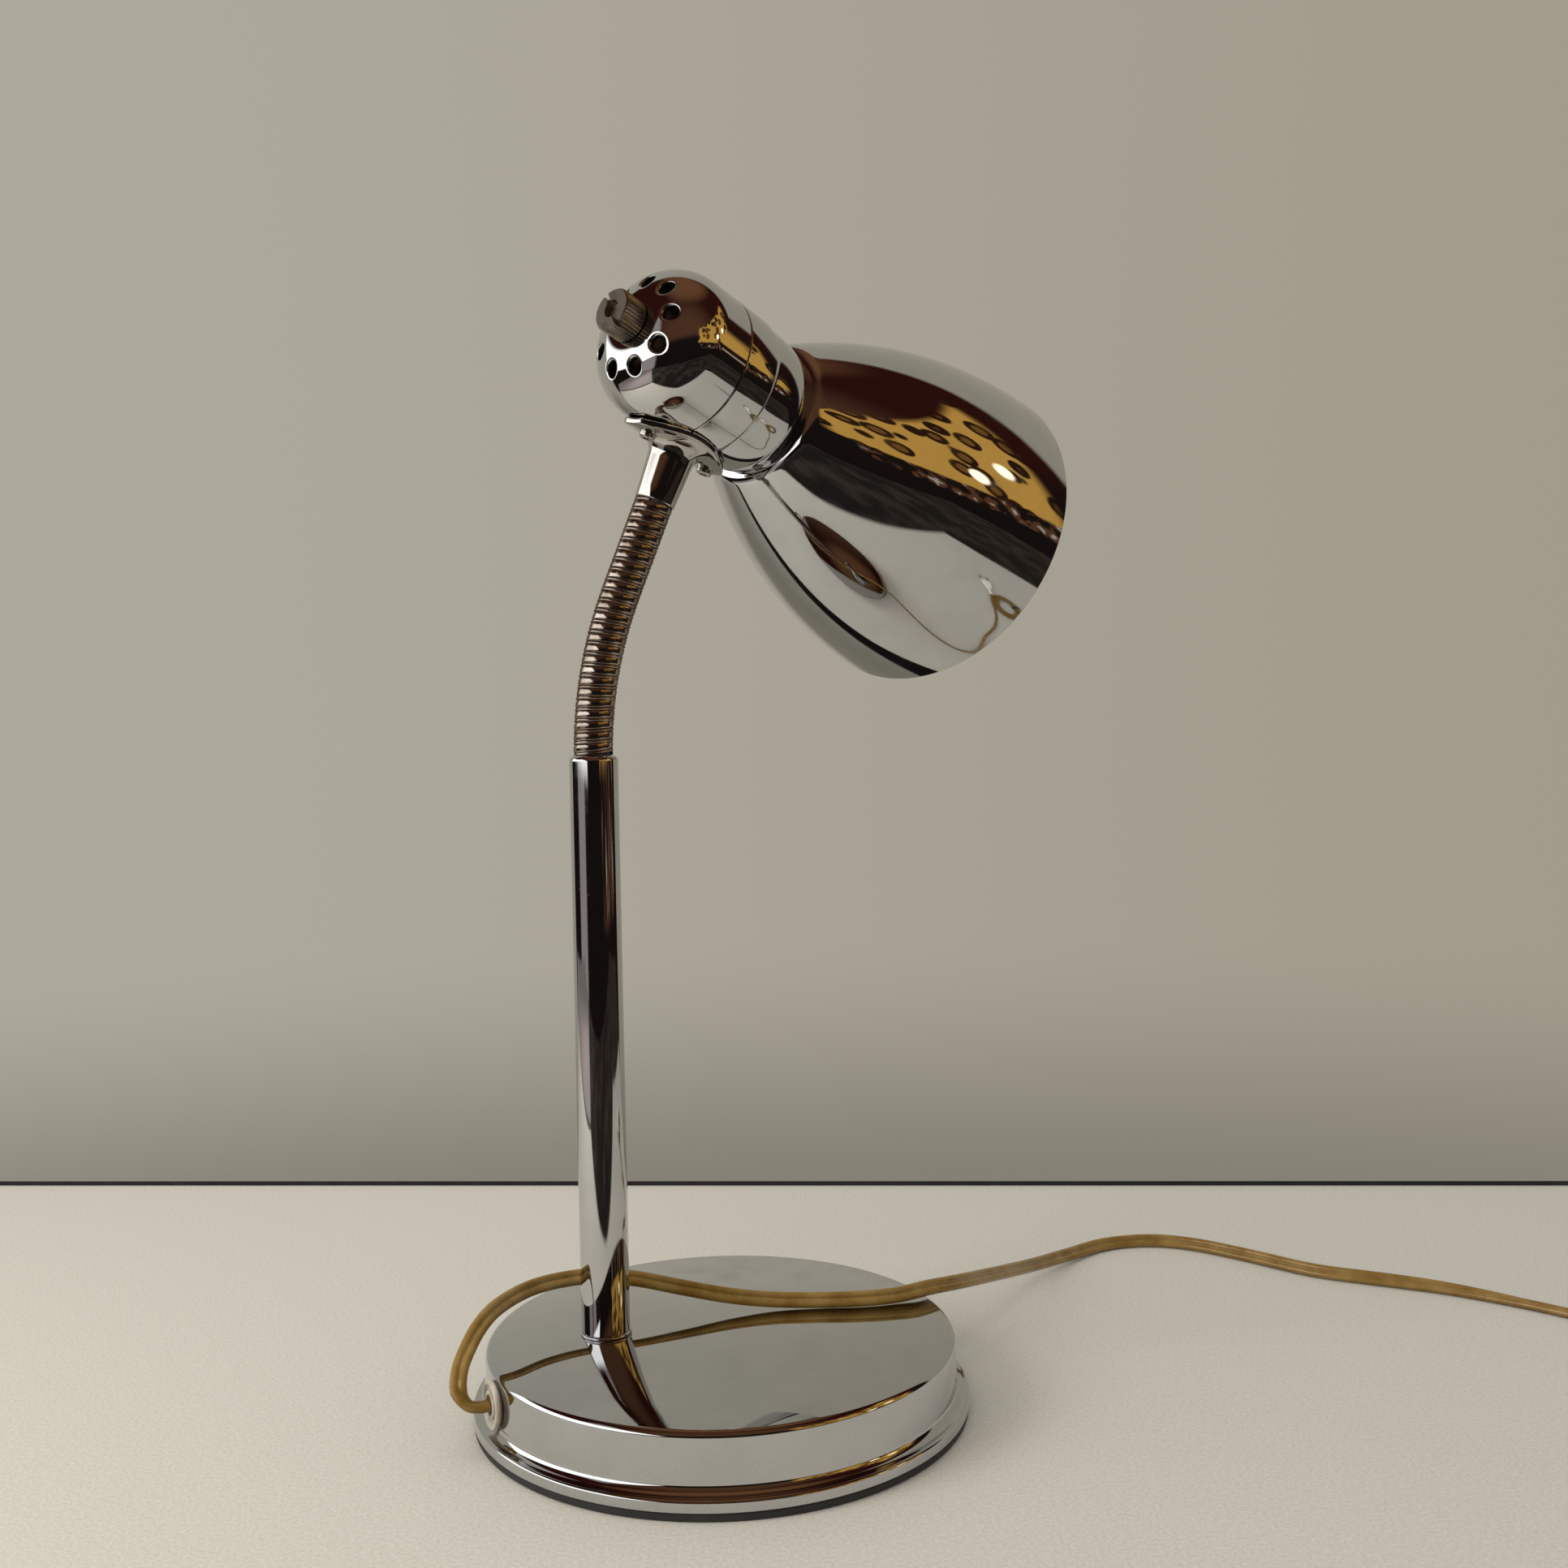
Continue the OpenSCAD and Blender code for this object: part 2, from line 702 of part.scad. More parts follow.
module neck_connector() {
    foot = -head_rise + link_gap / 2;
    taper = foot + band_h;
    plate_under = -cap_r - seat - saddle_wall;
    flare_z = plate_under - flare_r - taper;
    inside_saddle = -cap_r / 2 - taper;
    color("silver") at_head() difference() {
        union() {
            translate([0, 0, foot]) neck_band();
            translate([0, 0, taper]) rotate_extrude() polygon(concat(
                [[0, 0], [neck_r + connector_step, 0], [connector_top_r, flare_z]],
                arc([connector_top_r + flare_r, flare_z], flare_r, 180, 90),
                [[connector_top_r + flare_r, inside_saddle], [0, inside_saddle]]
            ));
            intersection() {
                translate([0, 0, -cap_r - saddle_wall - 1]) linear_extrude(height = cap_r / 2)
                    saddle_outline();
                head_rod(cap_r + seat + saddle_wall, -saddle_len, saddle_len);
            }
        }
        head_rod(cap_r + seat, -2 * saddle_len, 2 * saddle_len);
        translate([0, 0, -head_rise]) sphere(r = socket_r);
        translate([0, 0, -head_rise]) cylinder(r = lead_bore_r, h = head_rise);
        for (x = saddle_screw_xs) translate([x, 0, -head_rise]) {
            cylinder(r = saddle_screw_r + slip, h = head_rise);
            // Flat seat for the screw's head
            cylinder(r = saddle_head_r + slip, h = head_rise + plate_under + spot_face);
        }
    }
}

module saddle_screws() {
    seat_z = -cap_r - seat - saddle_wall + spot_face;
    head_round = 0.8;
    color("silver") at_head() for (x = saddle_screw_xs) translate([x, 0, 0]) difference() {
        union() {
            translate([0, 0, seat_z - saddle_head_h]) rotate_extrude() polygon(concat(
                [[0, 0]],
                arc([saddle_head_r - head_round, head_round], head_round, -90, 0, 4),
                [[saddle_head_r, saddle_head_h], [0, saddle_head_h]]
            ));
            translate([0, 0, seat_z - slip])
                cylinder(r = saddle_screw_r, h = saddle_screw_reach - cap_r + slip - seat_z);
        }
        for (turn = [0, 90])
            rotate([0, 0, turn])
                translate([-recess_len / 2, -recess_w / 2, seat_z - saddle_head_h - 1])
                    cube([recess_len, recess_w, recess_h + 1]);
    }
}

// ---------------------------------------------------------------- head shells

module lamp_cap() {
    round_c = [cap_r - cap_round_r, cap_round_r - cap_end];
    color("gainsboro") at_head() difference() {
        head_spin(concat(
            [[cap_bore_r, -seam_back], [cap_r, -seam_back]],
            arc(round_c, cap_round_r, 0, -90, 12),
            [[bushing_r + slip, -cap_end], [bushing_r + slip, shell_wall - cap_end]],
            arc(round_c, cap_round_r - shell_wall, -90, 0, 12)
        ));
        for (i = [0:vent_count - 1])
            rotate([vent_turn + 360 * i / vent_count, 0, 0]) translate([0, 0, vent_ring_r])
                head_rod(vent_r, -cap_end - 1, cap_round_r / 2 - cap_end + 2);
        translate([saddle_screw_xs[0], 0, -cap_r - 1])
            cylinder(r = saddle_screw_r + slip, h = 4);
    }
}

// Bell's outline as a cubic curve: its ends, and where the tangents at them lead to
bell_flare = mouth_r - shoulder_r;
bell_a = [shoulder_r, bell_x];
bell_b = bell_a + [0.573 * bell_flare, 0.307 * bell_len];
bell_c = bell_a + [0.907 * bell_flare, 0.614 * bell_len];
bell_d = [mouth_r, mouth_x];

function bell_point(s) = pow(1 - s, 3) * bell_a + 3 * s * pow(1 - s, 2) * bell_b
    + 3 * s * s * (1 - s) * bell_c + pow(s, 3) * bell_d;
function bell_slope(s) = unit(pow(1 - s, 2) * (bell_b - bell_a)
    + 2 * s * (1 - s) * (bell_c - bell_b) + s * s * (bell_d - bell_c));
function bell_inner(s) = bell_point(s) + shell_wall * [-bell_slope(s)[1], bell_slope(s)[0]];

// Round shoulder that springs from the crease at the collar's end into the bell
crease = [collar_end_r, crease_x];
shoulder_mid = [shoulder_r - 0.9, crease_x + 0.55];
function shoulder_point(s) = pow(1 - s, 2) * crease + 2 * s * (1 - s) * shoulder_mid
    + s * s * bell_a;

module lamp_shade() {
    steps = 22;
    collar_steps = 6;
    outer = [for (i = [0:steps]) bell_point(i / steps)];
    inner = [for (i = [steps:-1:0]) bell_inner(i / steps)];
    collar_bore = [
        for (i = [0:collar_steps])
            let (x = collar_x + collar_len * i / collar_steps)
            [collar_bore_r(x), x]
    ];
    color("gainsboro") at_head() difference() {
        head_spin(concat(
            [[cap_bore_r, sleeve_x], [cap_r, sleeve_x]],
            arc([cap_r - step_round_r, step_x], step_round_r, 0, 90, 4),
            [for (p = collar_bore) p + [shell_wall, 0]],
            [for (s = [0.25:0.25:0.75]) shoulder_point(s)],
            outer,
            inner,
            [[collar_end_r - shell_wall, crease_x + shell_wall]],
            [for (i = [collar_steps:-1:0]) collar_bore[i]],
            [[cap_bore_r, step_x - 0.2]]
        ));
        translate([0, 0, -cap_r - 1]) cylinder(r = lead_hole_r, h = 4);
        translate([saddle_screw_xs[1], 0, -cap_r - 1])
            cylinder(r = saddle_screw_r + slip, h = 5);
    }
}

// Steel collar that joins the cap, the shade and the lampholder
module holder_carrier() {
    front_end = carrier_front_x + carrier_front_len;
    front_r = collar_bore_r(carrier_front_x) - 0.2;
    front_end_r = collar_bore_r(front_end) - 0.2;
    color("silver") at_head() difference() {
        head_spin([
            [carrier_r, -carrier_back], [carrier_r, step_x - 0.6],
            [front_r, carrier_front_x], [front_end_r, front_end],
            [front_end_r - carrier_wall, front_end],
            [front_r - carrier_wall, web_x + web_h],
            [holder_r + slip, web_x + web_h], [holder_r + slip, web_x],
            [carrier_r - carrier_wall, web_x],
            [carrier_r - carrier_wall, -carrier_back]
        ]);
        translate([0, 0, -cap_r]) cylinder(r = lead_hole_r, h = 6);
        for (x = saddle_screw_xs)
            translate([x, 0, -cap_r]) cylinder(r = saddle_screw_r + slip, h = 6);
    }
}

// ---------------------------------------------------------------- switch

module switch_body() {
    front = shell_wall - cap_end;
    color([0.12, 0.1, 0.09]) at_head() difference() {
        union() {
            head_rod(bushing_r, -cap_end - switch_nut_h, front + 1);
            head_rod(switch_neck_r, front, front + switch_neck_h + 1);
            head_rod(switch_body_r, front + switch_neck_h, front + switch_neck_h + switch_body_h);
        }
        head_rod(shaft_r + running, -cap_end - knob_len, front + switch_neck_h + 4);
    }
}

switch_back = shell_wall - cap_end + switch_neck_h + switch_body_h;

module switch_terminals() {
    color("goldenrod") at_head() for (side = [-1, 1])
        translate([0, side * terminal_pitch / 2, 0])
            head_rod(terminal_r, switch_back, switch_back + terminal_h);
}

module switch_shaft() {
    color("silver") at_head()
        head_rod(shaft_r, -cap_end - knob_gap - knob_len + knob_slot_h, shell_wall - cap_end + 5);
}

module switch_nut() {
    color("silver") at_head() difference() {
        head_rod(switch_nut_r, -cap_end - switch_nut_h, -cap_end);
        head_rod(bushing_r + slip, -cap_end - 2 * switch_nut_h, 1 - cap_end);
    }
}

module switch_knob() {
    back = -cap_end - knob_gap;
    face = back - knob_len;
    ribs = [
        for (i = [0:2 * knob_ribs - 1])
            let (a = 180 * i / knob_ribs, r = knob_r - (i % 2) * knob_rib_depth)
            r * [cos(a), sin(a)]
    ];
    color([0.6, 0.57, 0.52]) at_head() difference() {
        intersection() {
            translate([face, 0, 0]) rotate([0, 90, 0]) linear_extrude(height = knob_len)
                polygon(ribs);
            head_spin([
                [0, face], [knob_r - knob_chamfer, face], [knob_r + 0.1, face + knob_chamfer],
                [knob_r + 0.1, back], [0, back]
            ]);
        }
        // Recess over the nut, bore for the shaft and the slot across the face
        head_rod(switch_nut_r + seat, back - switch_nut_h, back + 1);
        head_rod(shaft_r + running, face - 1, back);
        rotate([knob_slot_turn, 0, 0])
            translate([face - 1, -knob_r - 1, -knob_slot_w / 2])
                cube([1 + knob_slot_h, 2 * knob_r + 2, knob_slot_w]);
    }
}

// ---------------------------------------------------------------- lampholder

module holder_body() {
    back = web_x - holder_flange_h;
    color([0.93, 0.93, 0.9]) at_head() difference() {
        union() {
            head_rod(holder_back_r, back - holder_back_h, back + 1);
            head_rod(holder_flange_r, back, web_x);
            head_rod(holder_r, web_x - 1, web_x + holder_len);
        }
        head_rod(holder_bore_r, holder_floor, web_x + holder_len + 1);
        for (side = [-1, 1])
            translate([0, side * terminal_pitch / 2, 0])
                head_rod(terminal_r - 0.6, back - holder_back_h - 1, back - holder_back_h + 6);
    }
}

module holder_ring() {
    color([0.93, 0.93, 0.9]) at_head() difference() {
        head_rod(holder_ring_r, web_x + web_h, web_x + web_h + holder_ring_h);
        head_rod(holder_r + slip, web_x, web_x + web_h + holder_ring_h + 1);
    }
}

module thread_shell() {
    color("goldenrod") at_head() difference() {
        head_rod(holder_bore_r - slip, holder_floor, holder_floor + shell_h);
        head_rod(shell_bore_r, holder_floor - 1, holder_floor + shell_h + 1);
    }
}

module centre_contact() {
    color("goldenrod") at_head() head_rod(contact_r, holder_floor, holder_floor + contact_h);
}

module holder_terminals() {
    back = web_x - holder_flange_h - holder_back_h;
    color("goldenrod") at_head() for (side = [-1, 1])
        translate([0, side * terminal_pitch / 2, 0]) {
            head_rod(terminal_r, back - terminal_h, back);
            head_rod(terminal_r - 0.7, back - slip, back + 5);
        }
}

// Short lead from the neck into the head, ending between the terminals
module head_lead() {
    back = web_x - holder_flange_h - holder_back_h - terminal_h;
    wall_z = -cap_r;
    route = [
        [0, 0, connector_top_r - head_rise], [0, 0, wall_z - connector_h / 3], [0, 0, wall_z],
        [-1.2, 0, wall_z + 3.5], [-5, 0, wall_z + 5.3], [back - 2, 0, wall_z + 7],
        [back - 4, 0, wall_z / 2], [back - 4, 0, wall_z / 6]
    ];
    color("goldenrod") at_head() flat_cord(route, steps = 3, across = [0, 1, 0]);
}

// ---------------------------------------------------------------- lamp

module bulb_cap() {
    color("silver") at_head() difference() {
        head_rod(bulb_cap_r, bulb_cap_x, bulb_glass_x);
        head_rod(bulb_cap_r - 0.8, bulb_cap_x + 1, bulb_glass_x + 1);
    }
}

module bulb_insulator() {
    color([0.08, 0.08, 0.1]) at_head() head_spin([
        [0, bulb_cap_x - bulb_insulator_h], [bulb_contact_r + 1, bulb_cap_x - bulb_insulator_h],
        [bulb_cap_r - 1, bulb_cap_x], [0, bulb_cap_x]
    ]);
}

module bulb_contact() {
    color("silver") at_head() head_rod(bulb_contact_r, bulb_tip_x, bulb_tip_x + bulb_contact_h);
}

// Pear-shaped glass: a straight neck, a slope and a round end
bulb_neck_len = bulb_len * 0.1;
bulb_neck_flare = 0.4;
bulb_slope_from = -38;
function bulb_outline(r, end, neck) = concat(
    [[neck, bulb_glass_x], [neck + bulb_neck_flare, bulb_glass_x + bulb_neck_len]],
    arc([0, end - r], r, bulb_slope_from, 90, 16)
);

module bulb_glass() {
    end = bulb_glass_x + bulb_len;
    outer = bulb_outline(bulb_r, end, bulb_neck_r);
    inner = bulb_outline(bulb_r - bulb_wall, end - bulb_wall, bulb_neck_r - bulb_wall);
    n = len(inner) - 1;
    color([0.96, 0.95, 0.9]) at_head()
        head_spin(concat(outer, [for (i = [n:-1:0]) inner[i]]));
}

// ---------------------------------------------------------------- cord and plug

module supply_cord() {
    color([0.72, 0.5, 0.15]) flat_cord(cord_route, steps = 2);
}

module cord_coil() {
    color([0.72, 0.5, 0.15]) translate([coil_centre[0], coil_centre[1], coil_z])
        rotate_extrude() translate([coil_in_r, 0]) square([coil_width, coil_h]);
}

// Band round the bundle of turns
module coil_tie() {
    reach = [coil_in_r - tie_slack, coil_out_r + tie_slack / 3];
    translate([coil_centre[0], coil_centre[1], 0]) rotate([0, 0, tie_angle])
        color([0.12, 0.12, 0.12]) difference() {
            translate([reach[0] - tie_h, -tie_w / 2, 0])
                cube([reach[1] - reach[0] + 2 * tie_h, tie_w, coil_h + 2 * tie_h]);
            translate([reach[0], -tie_w, tie_h]) cube([reach[1] - reach[0], 2 * tie_w, coil_h]);
        }
}

module cord_tail() {
    color([0.72, 0.5, 0.15]) flat_cord(tail_route, steps = 2);
}

module at_plug() {
    translate([plug_at[0], plug_at[1], plug_z]) rotate([0, 0, plug_turn]) children();
}

module plug_body() {
    corner = 3;
    outline = [
        [relief_len, plug_nose_w / 2 - corner], [relief_len + corner, plug_nose_w / 2],
        [relief_len + plug_len / 2, plug_w / 2], [relief_len + plug_len, plug_w / 2],
        [relief_len + plug_len, -plug_w / 2], [relief_len + plug_len / 2, -plug_w / 2],
        [relief_len + corner, -plug_nose_w / 2], [relief_len, corner - plug_nose_w / 2]
    ];
    color([0.93, 0.92, 0.87]) at_plug() {
        intersection() {
            translate([0, 0, -plug_h / 2]) linear_extrude(height = plug_h) polygon(outline);
            // Rounded flanks
            rotate([0, 90, 0]) linear_extrude(height = relief_len + plug_len)
                plug_section();
        }
        rotate([0, 90, 0]) cylinder(r1 = relief_r - 0.9, r2 = relief_r, h = relief_len + 1);
    }
}

// Cross-section of the plug: flat faces with half-round flanks
module plug_section() {
    square([plug_h, plug_w - plug_h], center = true);
    for (side = [-1, 1])
        translate([0, side * (plug_w - plug_h) / 2]) circle(r = plug_h / 2);
}

module plug_pins() {
    color("goldenrod") at_plug() for (side = [-1, 1])
        translate([relief_len + plug_len, side * pin_pitch / 2, 0]) rotate([0, 90, 0]) {
            cylinder(r = pin_r - 0.2, h = pin_len / 2);
            translate([0, 0, pin_len / 2]) cylinder(r = pin_r, h = pin_len / 2 - 1);
            translate([0, 0, pin_len - 1]) cylinder(r1 = pin_r, r2 = pin_r - 0.9, h = 1);
        }
}

// ---------------------------------------------------------------- nodes

base_cover();
base_weight();
bottom_plate();
bottom_plate_screws();
foot_pad();
cord_grommet();
cord_clip();
cord_clip_screws();
stem_nipple();
stem_nut();
stem_washer();
foot_ring();
stem_foot_bush();
stem_tube();
stem_ferrule();
stem_lead();
neck_link(0);  // neck_link_01
neck_link(1);  // neck_link_02
neck_link(2);  // neck_link_03
neck_link(3);  // neck_link_04
neck_link(4);  // neck_link_05
neck_link(5);  // neck_link_06
neck_link(6);  // neck_link_07
neck_link(7);  // neck_link_08
neck_link(8);  // neck_link_09
neck_link(9);  // neck_link_10
neck_link(10);  // neck_link_11
neck_connector();
saddle_screws();
lamp_cap();
holder_carrier();
switch_body();
switch_terminals();
switch_shaft();
switch_nut();
switch_knob();
holder_body();
holder_ring();
thread_shell();
centre_contact();
holder_terminals();
head_lead();
lamp_shade();
bulb_cap();
bulb_insulator();
bulb_contact();
bulb_glass();
supply_cord();
cord_coil();
coil_tie();
cord_tail();
plug_body();
plug_pins();
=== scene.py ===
import math

import bpy
import numpy as np
from mathutils import Matrix, Vector


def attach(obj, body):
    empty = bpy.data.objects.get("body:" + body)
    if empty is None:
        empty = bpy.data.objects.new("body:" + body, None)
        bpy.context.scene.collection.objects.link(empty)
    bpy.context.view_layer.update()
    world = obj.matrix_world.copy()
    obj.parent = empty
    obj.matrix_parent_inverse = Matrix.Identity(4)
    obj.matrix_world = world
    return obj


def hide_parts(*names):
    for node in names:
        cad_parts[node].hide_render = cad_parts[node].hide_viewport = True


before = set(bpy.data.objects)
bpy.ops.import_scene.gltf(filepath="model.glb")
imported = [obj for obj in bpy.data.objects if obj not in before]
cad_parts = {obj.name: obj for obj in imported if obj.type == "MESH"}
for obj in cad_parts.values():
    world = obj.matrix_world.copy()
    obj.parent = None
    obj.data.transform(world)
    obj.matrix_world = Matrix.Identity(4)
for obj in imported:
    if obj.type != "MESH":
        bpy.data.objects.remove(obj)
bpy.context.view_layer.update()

MM = 0.001

# ---------------------------------------------------------------- camera
# A level portrait view a little above half the lamp's height, half a metre in front.
# It looks one and a half degrees down and is rolled by one degree.

scene = bpy.context.scene
scene.view_settings.view_transform = "Standard"
look_down, camera_roll = 0.0272, -0.0185
camera_at = (0.0239, -0.5137, 0.2180)
forward = Vector((0, math.cos(look_down), -math.sin(look_down)))
level_up = Vector((0, math.sin(look_down), math.cos(look_down)))
camera_right = Vector((1, 0, 0)) * math.cos(camera_roll) + level_up * math.sin(camera_roll)
camera_up = camera_right.cross(forward)
camera_data = bpy.data.cameras.new("camera")
camera_data.sensor_width = 36
camera_data.lens = 36.06
camera = bpy.data.objects.new("camera", camera_data)
scene.collection.objects.link(camera)
camera.matrix_world = Matrix((
    (camera_right.x, camera_up.x, -forward.x, camera_at[0]),
    (camera_right.y, camera_up.y, -forward.y, camera_at[1]),
    (camera_right.z, camera_up.z, -forward.z, camera_at[2]),
    (0, 0, 0, 1),
))
scene.camera = camera

# ---------------------------------------------------------------- the lead
# Flat twin flex: two stranded copper cores in clear amber plastic, moulded side by side.
# It leaves the base through its grommet, arches behind the stem and runs over the table;
# what is left over is wound into a flat coil.

flex_width, flex_thick = 5.4, 2.8
exit_angle = math.radians(207)
exit_way = np.array([math.cos(exit_angle), math.sin(exit_angle), 0])
exit_r, exit_height = 79.05, 15.5
flex_exit = exit_r * exit_way + np.array([0, 0, exit_height])
over_the_table = [
    flex_exit, flex_exit + 1.2 * exit_way, flex_exit + 2.6 * exit_way,
    [-76.2, -38.4, 16.6], [-79.2, -37.5, 20.5], [-79.8, -32.5, 25],
    [-78.2, -26.5, 29.5], [-75.6, -19.5, 33.5], [-71.5, -10, 36], [-64, 3, 36.8],
    [-54, 11.5, 36.8], [-42, 16, 36.4], [-29, 17.3, 34.6], [-14, 17.8, 31.2],
    [2, 18.6, 27.8], [17, 19.2, 26], [32, 19.2, 25.5], [46, 19.8, 25.5],
    [59, 22.5, 25.5], [71, 29.5, 25.5], [83, 42, 23], [94, 60, 18.5],
    [106, 82, 12.8], [120, 107, 6.6], [137, 130, 2.5], [156, 146, 1.5],
    [176, 150, 1.5], [194, 143.5, 1.5], [213, 127.5, 1.5], [232, 109.5, 1.5],
    [254, 98, 1.5], [275, 88, 1.5], [294, 75, 1.5], [311, 60, 1.5],
    [326, 43, 1.6],
]
coil_middle = np.array([368, 50])
coil_from, coil_outer_r, coil_inner_r = 222, 37.8, 21.6
coil_turns, coil_low, coil_high = 3, 2.0, 4.8
into_the_plug = [[345, 19, 5.3], [350.3, 13.2, 6.1], [355.5, 7.5, 6.5]]


def coiled():
    """Points of the coil: inwards on the table, up one layer, and outwards on top of it."""
    steps = 24
    points = []
    for i in range(2 * coil_turns * steps + 1):
        turn = i / steps
        inward = min(turn, 2 * coil_turns - turn) / coil_turns
        r = coil_outer_r - (coil_outer_r - coil_inner_r) * inward
        climb = min(1, max(0, (turn - coil_turns) * 5 + 0.5))
        angle = math.radians(coil_from) + 2 * math.pi * turn
        points.append([
            coil_middle[0] + r * math.cos(angle), coil_middle[1] + r * math.sin(angle),
            coil_low + (coil_high - coil_low) * climb * climb * (3 - 2 * climb),
        ])
    return points


def smooth(points, steps):
    """The smooth curve through these points, with some steps between each two."""
    p = np.array(points, float)
    last = len(p) - 1
    out = []
    for i in range(last):
        a, b, c, d = p[max(i - 1, 0)], p[i], p[i + 1], p[min(i + 2, last)]
        for k in range(steps):
            s = k / steps
            out.append(b + 0.5 * s * (
                c - a + s * (2 * a - 5 * b + 4 * c - d + s * (3 * b - a - 3 * c + d))
            ))
    return np.array(out + [p[last]])


def rolled(line):
    """How far the flex stands up on its edge along its line, in radians."""
    run = np.concatenate([[0], np.cumsum(np.linalg.norm(np.diff(line, axis=0), axis=1))])
    return np.radians(np.interp(run, roll_at, roll_degrees))


def swept(line, outline, first=0):
    """Points and faces of a flat section carried along a line; first numbers its first point."""
    way = np.gradient(line, axis=0)
    way /= np.linalg.norm(way, axis=1)[:, None]
    side = np.cross(way, [0, 0, 1])
    side /= np.linalg.norm(side, axis=1)[:, None]
    lift = np.cross(side, way)
    roll = rolled(line)
    points = []
    for i in range(len(line)):
        c, s = math.cos(roll[i]), math.sin(roll[i])
        stand = line[i] + lift[i] * core_off * abs(s)
        points += [stand + side[i] * (u * c - v * s) + lift[i] * (u * s + v * c)
                   for u, v in outline]
    n = len(outline)
    faces = [
        (first + i * n + k, first + (i + 1) * n + k,
         first + (i + 1) * n + (k + 1) % n, first + i * n + (k + 1) % n)
        for i in range(len(line) - 1) for k in range(n)
    ]
    faces.append(tuple(first + k for k in range(n)))
    faces.append(tuple(first + (len(line) - 1) * n + k for k in reversed(range(n))))
    return points, faces


def piece(name, points, faces, body, materials, groups=None):
    """A smooth-shaded mesh in the lamp's frame that rides on a body."""
    mesh = bpy.data.meshes.new(name)
    mesh.from_pydata([tuple(float(c) * MM for c in p) for p in points], [], faces)
    for material in materials:
        mesh.materials.append(material)
    if groups is not None:
        mesh.polygons.foreach_set("material_index", groups)
    mesh.polygons.foreach_set("use_smooth", [True] * len(mesh.polygons))
    mesh.update()
    made = bpy.data.objects.new(name, mesh)
    scene.collection.objects.link(made)
    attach(made, body)
    return made


def crease(made, degrees=28):
    """Keeps the edges between two faces crisp where they meet at more than this."""
    mesh = made.data
    normals = np.array([p.normal[:] for p in mesh.polygons])
    seen = {}
    for p in mesh.polygons:
        for key in p.edge_keys:
            seen.setdefault(key, []).append(p.index)
    limit = math.cos(math.radians(degrees))
    for edge in mesh.edges:
        faces = seen.get(edge.key, [])
        if len(faces) == 2 and normals[faces[0]] @ normals[faces[1]] < limit:
            edge.use_edge_sharp = True
    return made


def shader(name, color, metallic=0.0, roughness=0.5, **values):
    """A new material and its nodes: the surface shader and the links."""
    material = bpy.data.materials.new(name)
    material.use_nodes = True
    surface = material.node_tree.nodes["Principled BSDF"]
    surface.inputs["Base Color"].default_value = (*color, 1)
    surface.inputs["Metallic"].default_value = metallic
    surface.inputs["Roughness"].default_value = roughness
    for socket, value in values.items():
        surface.inputs[socket.replace("_", " ")].default_value = value
    return material, material.node_tree.nodes, material.node_tree.links, surface


def grain(nodes, links, size, detail=3, rough=0.55):
    """Soft noise in the lamp's own frame; size is that of its features in millimetres."""
    place = nodes.new("ShaderNodeTexCoord")
    noise = nodes.new("ShaderNodeTexNoise")
    noise.inputs["Scale"].default_value = 1 / (size * MM)
    noise.inputs["Detail"].default_value = detail
    noise.inputs["Roughness"].default_value = rough
    links.new(place.outputs["Object"], noise.inputs["Vector"])
    return noise.outputs["Fac"]


def spread(nodes, links, source, low, high, at=(0.35, 0.65)):
    """Maps the middle of a noise to a range of values."""
    ranged = nodes.new("ShaderNodeMapRange")
    ranged.inputs["From Min"].default_value = at[0]
    ranged.inputs["From Max"].default_value = at[1]
    ranged.inputs["To Min"].default_value = low
    ranged.inputs["To Max"].default_value = high
    links.new(source, ranged.inputs["Value"])
    return ranged.outputs["Result"]


def tinted(nodes, links, source, low, high, at=(0.35, 0.65)):
    """Maps the middle of a noise to a blend of two colours."""
    ramp = nodes.new("ShaderNodeValToRGB")
    ramp.color_ramp.elements[0].position = at[0]
    ramp.color_ramp.elements[0].color = (*low, 1)
    ramp.color_ramp.elements[1].position = at[1]
    ramp.color_ramp.elements[1].color = (*high, 1)
    links.new(source, ramp.inputs["Fac"])
    return ramp.outputs["Color"]


def dented(nodes, links, surface, source, height):
    """Raises the surface by a noise; height is in millimetres."""
    bump = nodes.new("ShaderNodeBump")
    bump.inputs["Distance"].default_value = height * MM
    links.new(source, bump.inputs["Height"])
    links.new(bump.outputs["Normal"], surface.inputs["Normal"])


def amber_plastic():
    material, nodes, links, surface = shader(
        "clear_amber_plastic", (0.42, 0.255, 0.06), roughness=0.14, IOR=1.48,
        Transmission_Weight=0.55,
    )
    clouding = grain(nodes, links, 9)
    links.new(tinted(nodes, links, clouding, (0.34, 0.19, 0.038), (0.50, 0.32, 0.09)),
              surface.inputs["Base Color"])
    links.new(spread(nodes, links, clouding, 0.1, 0.24), surface.inputs["Roughness"])
    dented(nodes, links, surface, grain(nodes, links, 1.6, 2), 0.06)
    return material


def stranded_copper():
    material, nodes, links, surface = shader(
        "stranded_copper", (0.50, 0.23, 0.07), metallic=1.0, roughness=0.42,
    )
    strands = grain(nodes, links, 0.5, 1)
    links.new(tinted(nodes, links, strands, (0.16, 0.07, 0.02), (0.46, 0.24, 0.09)),
              surface.inputs["Base Color"])
    dented(nodes, links, surface, strands, 0.12)
    return material


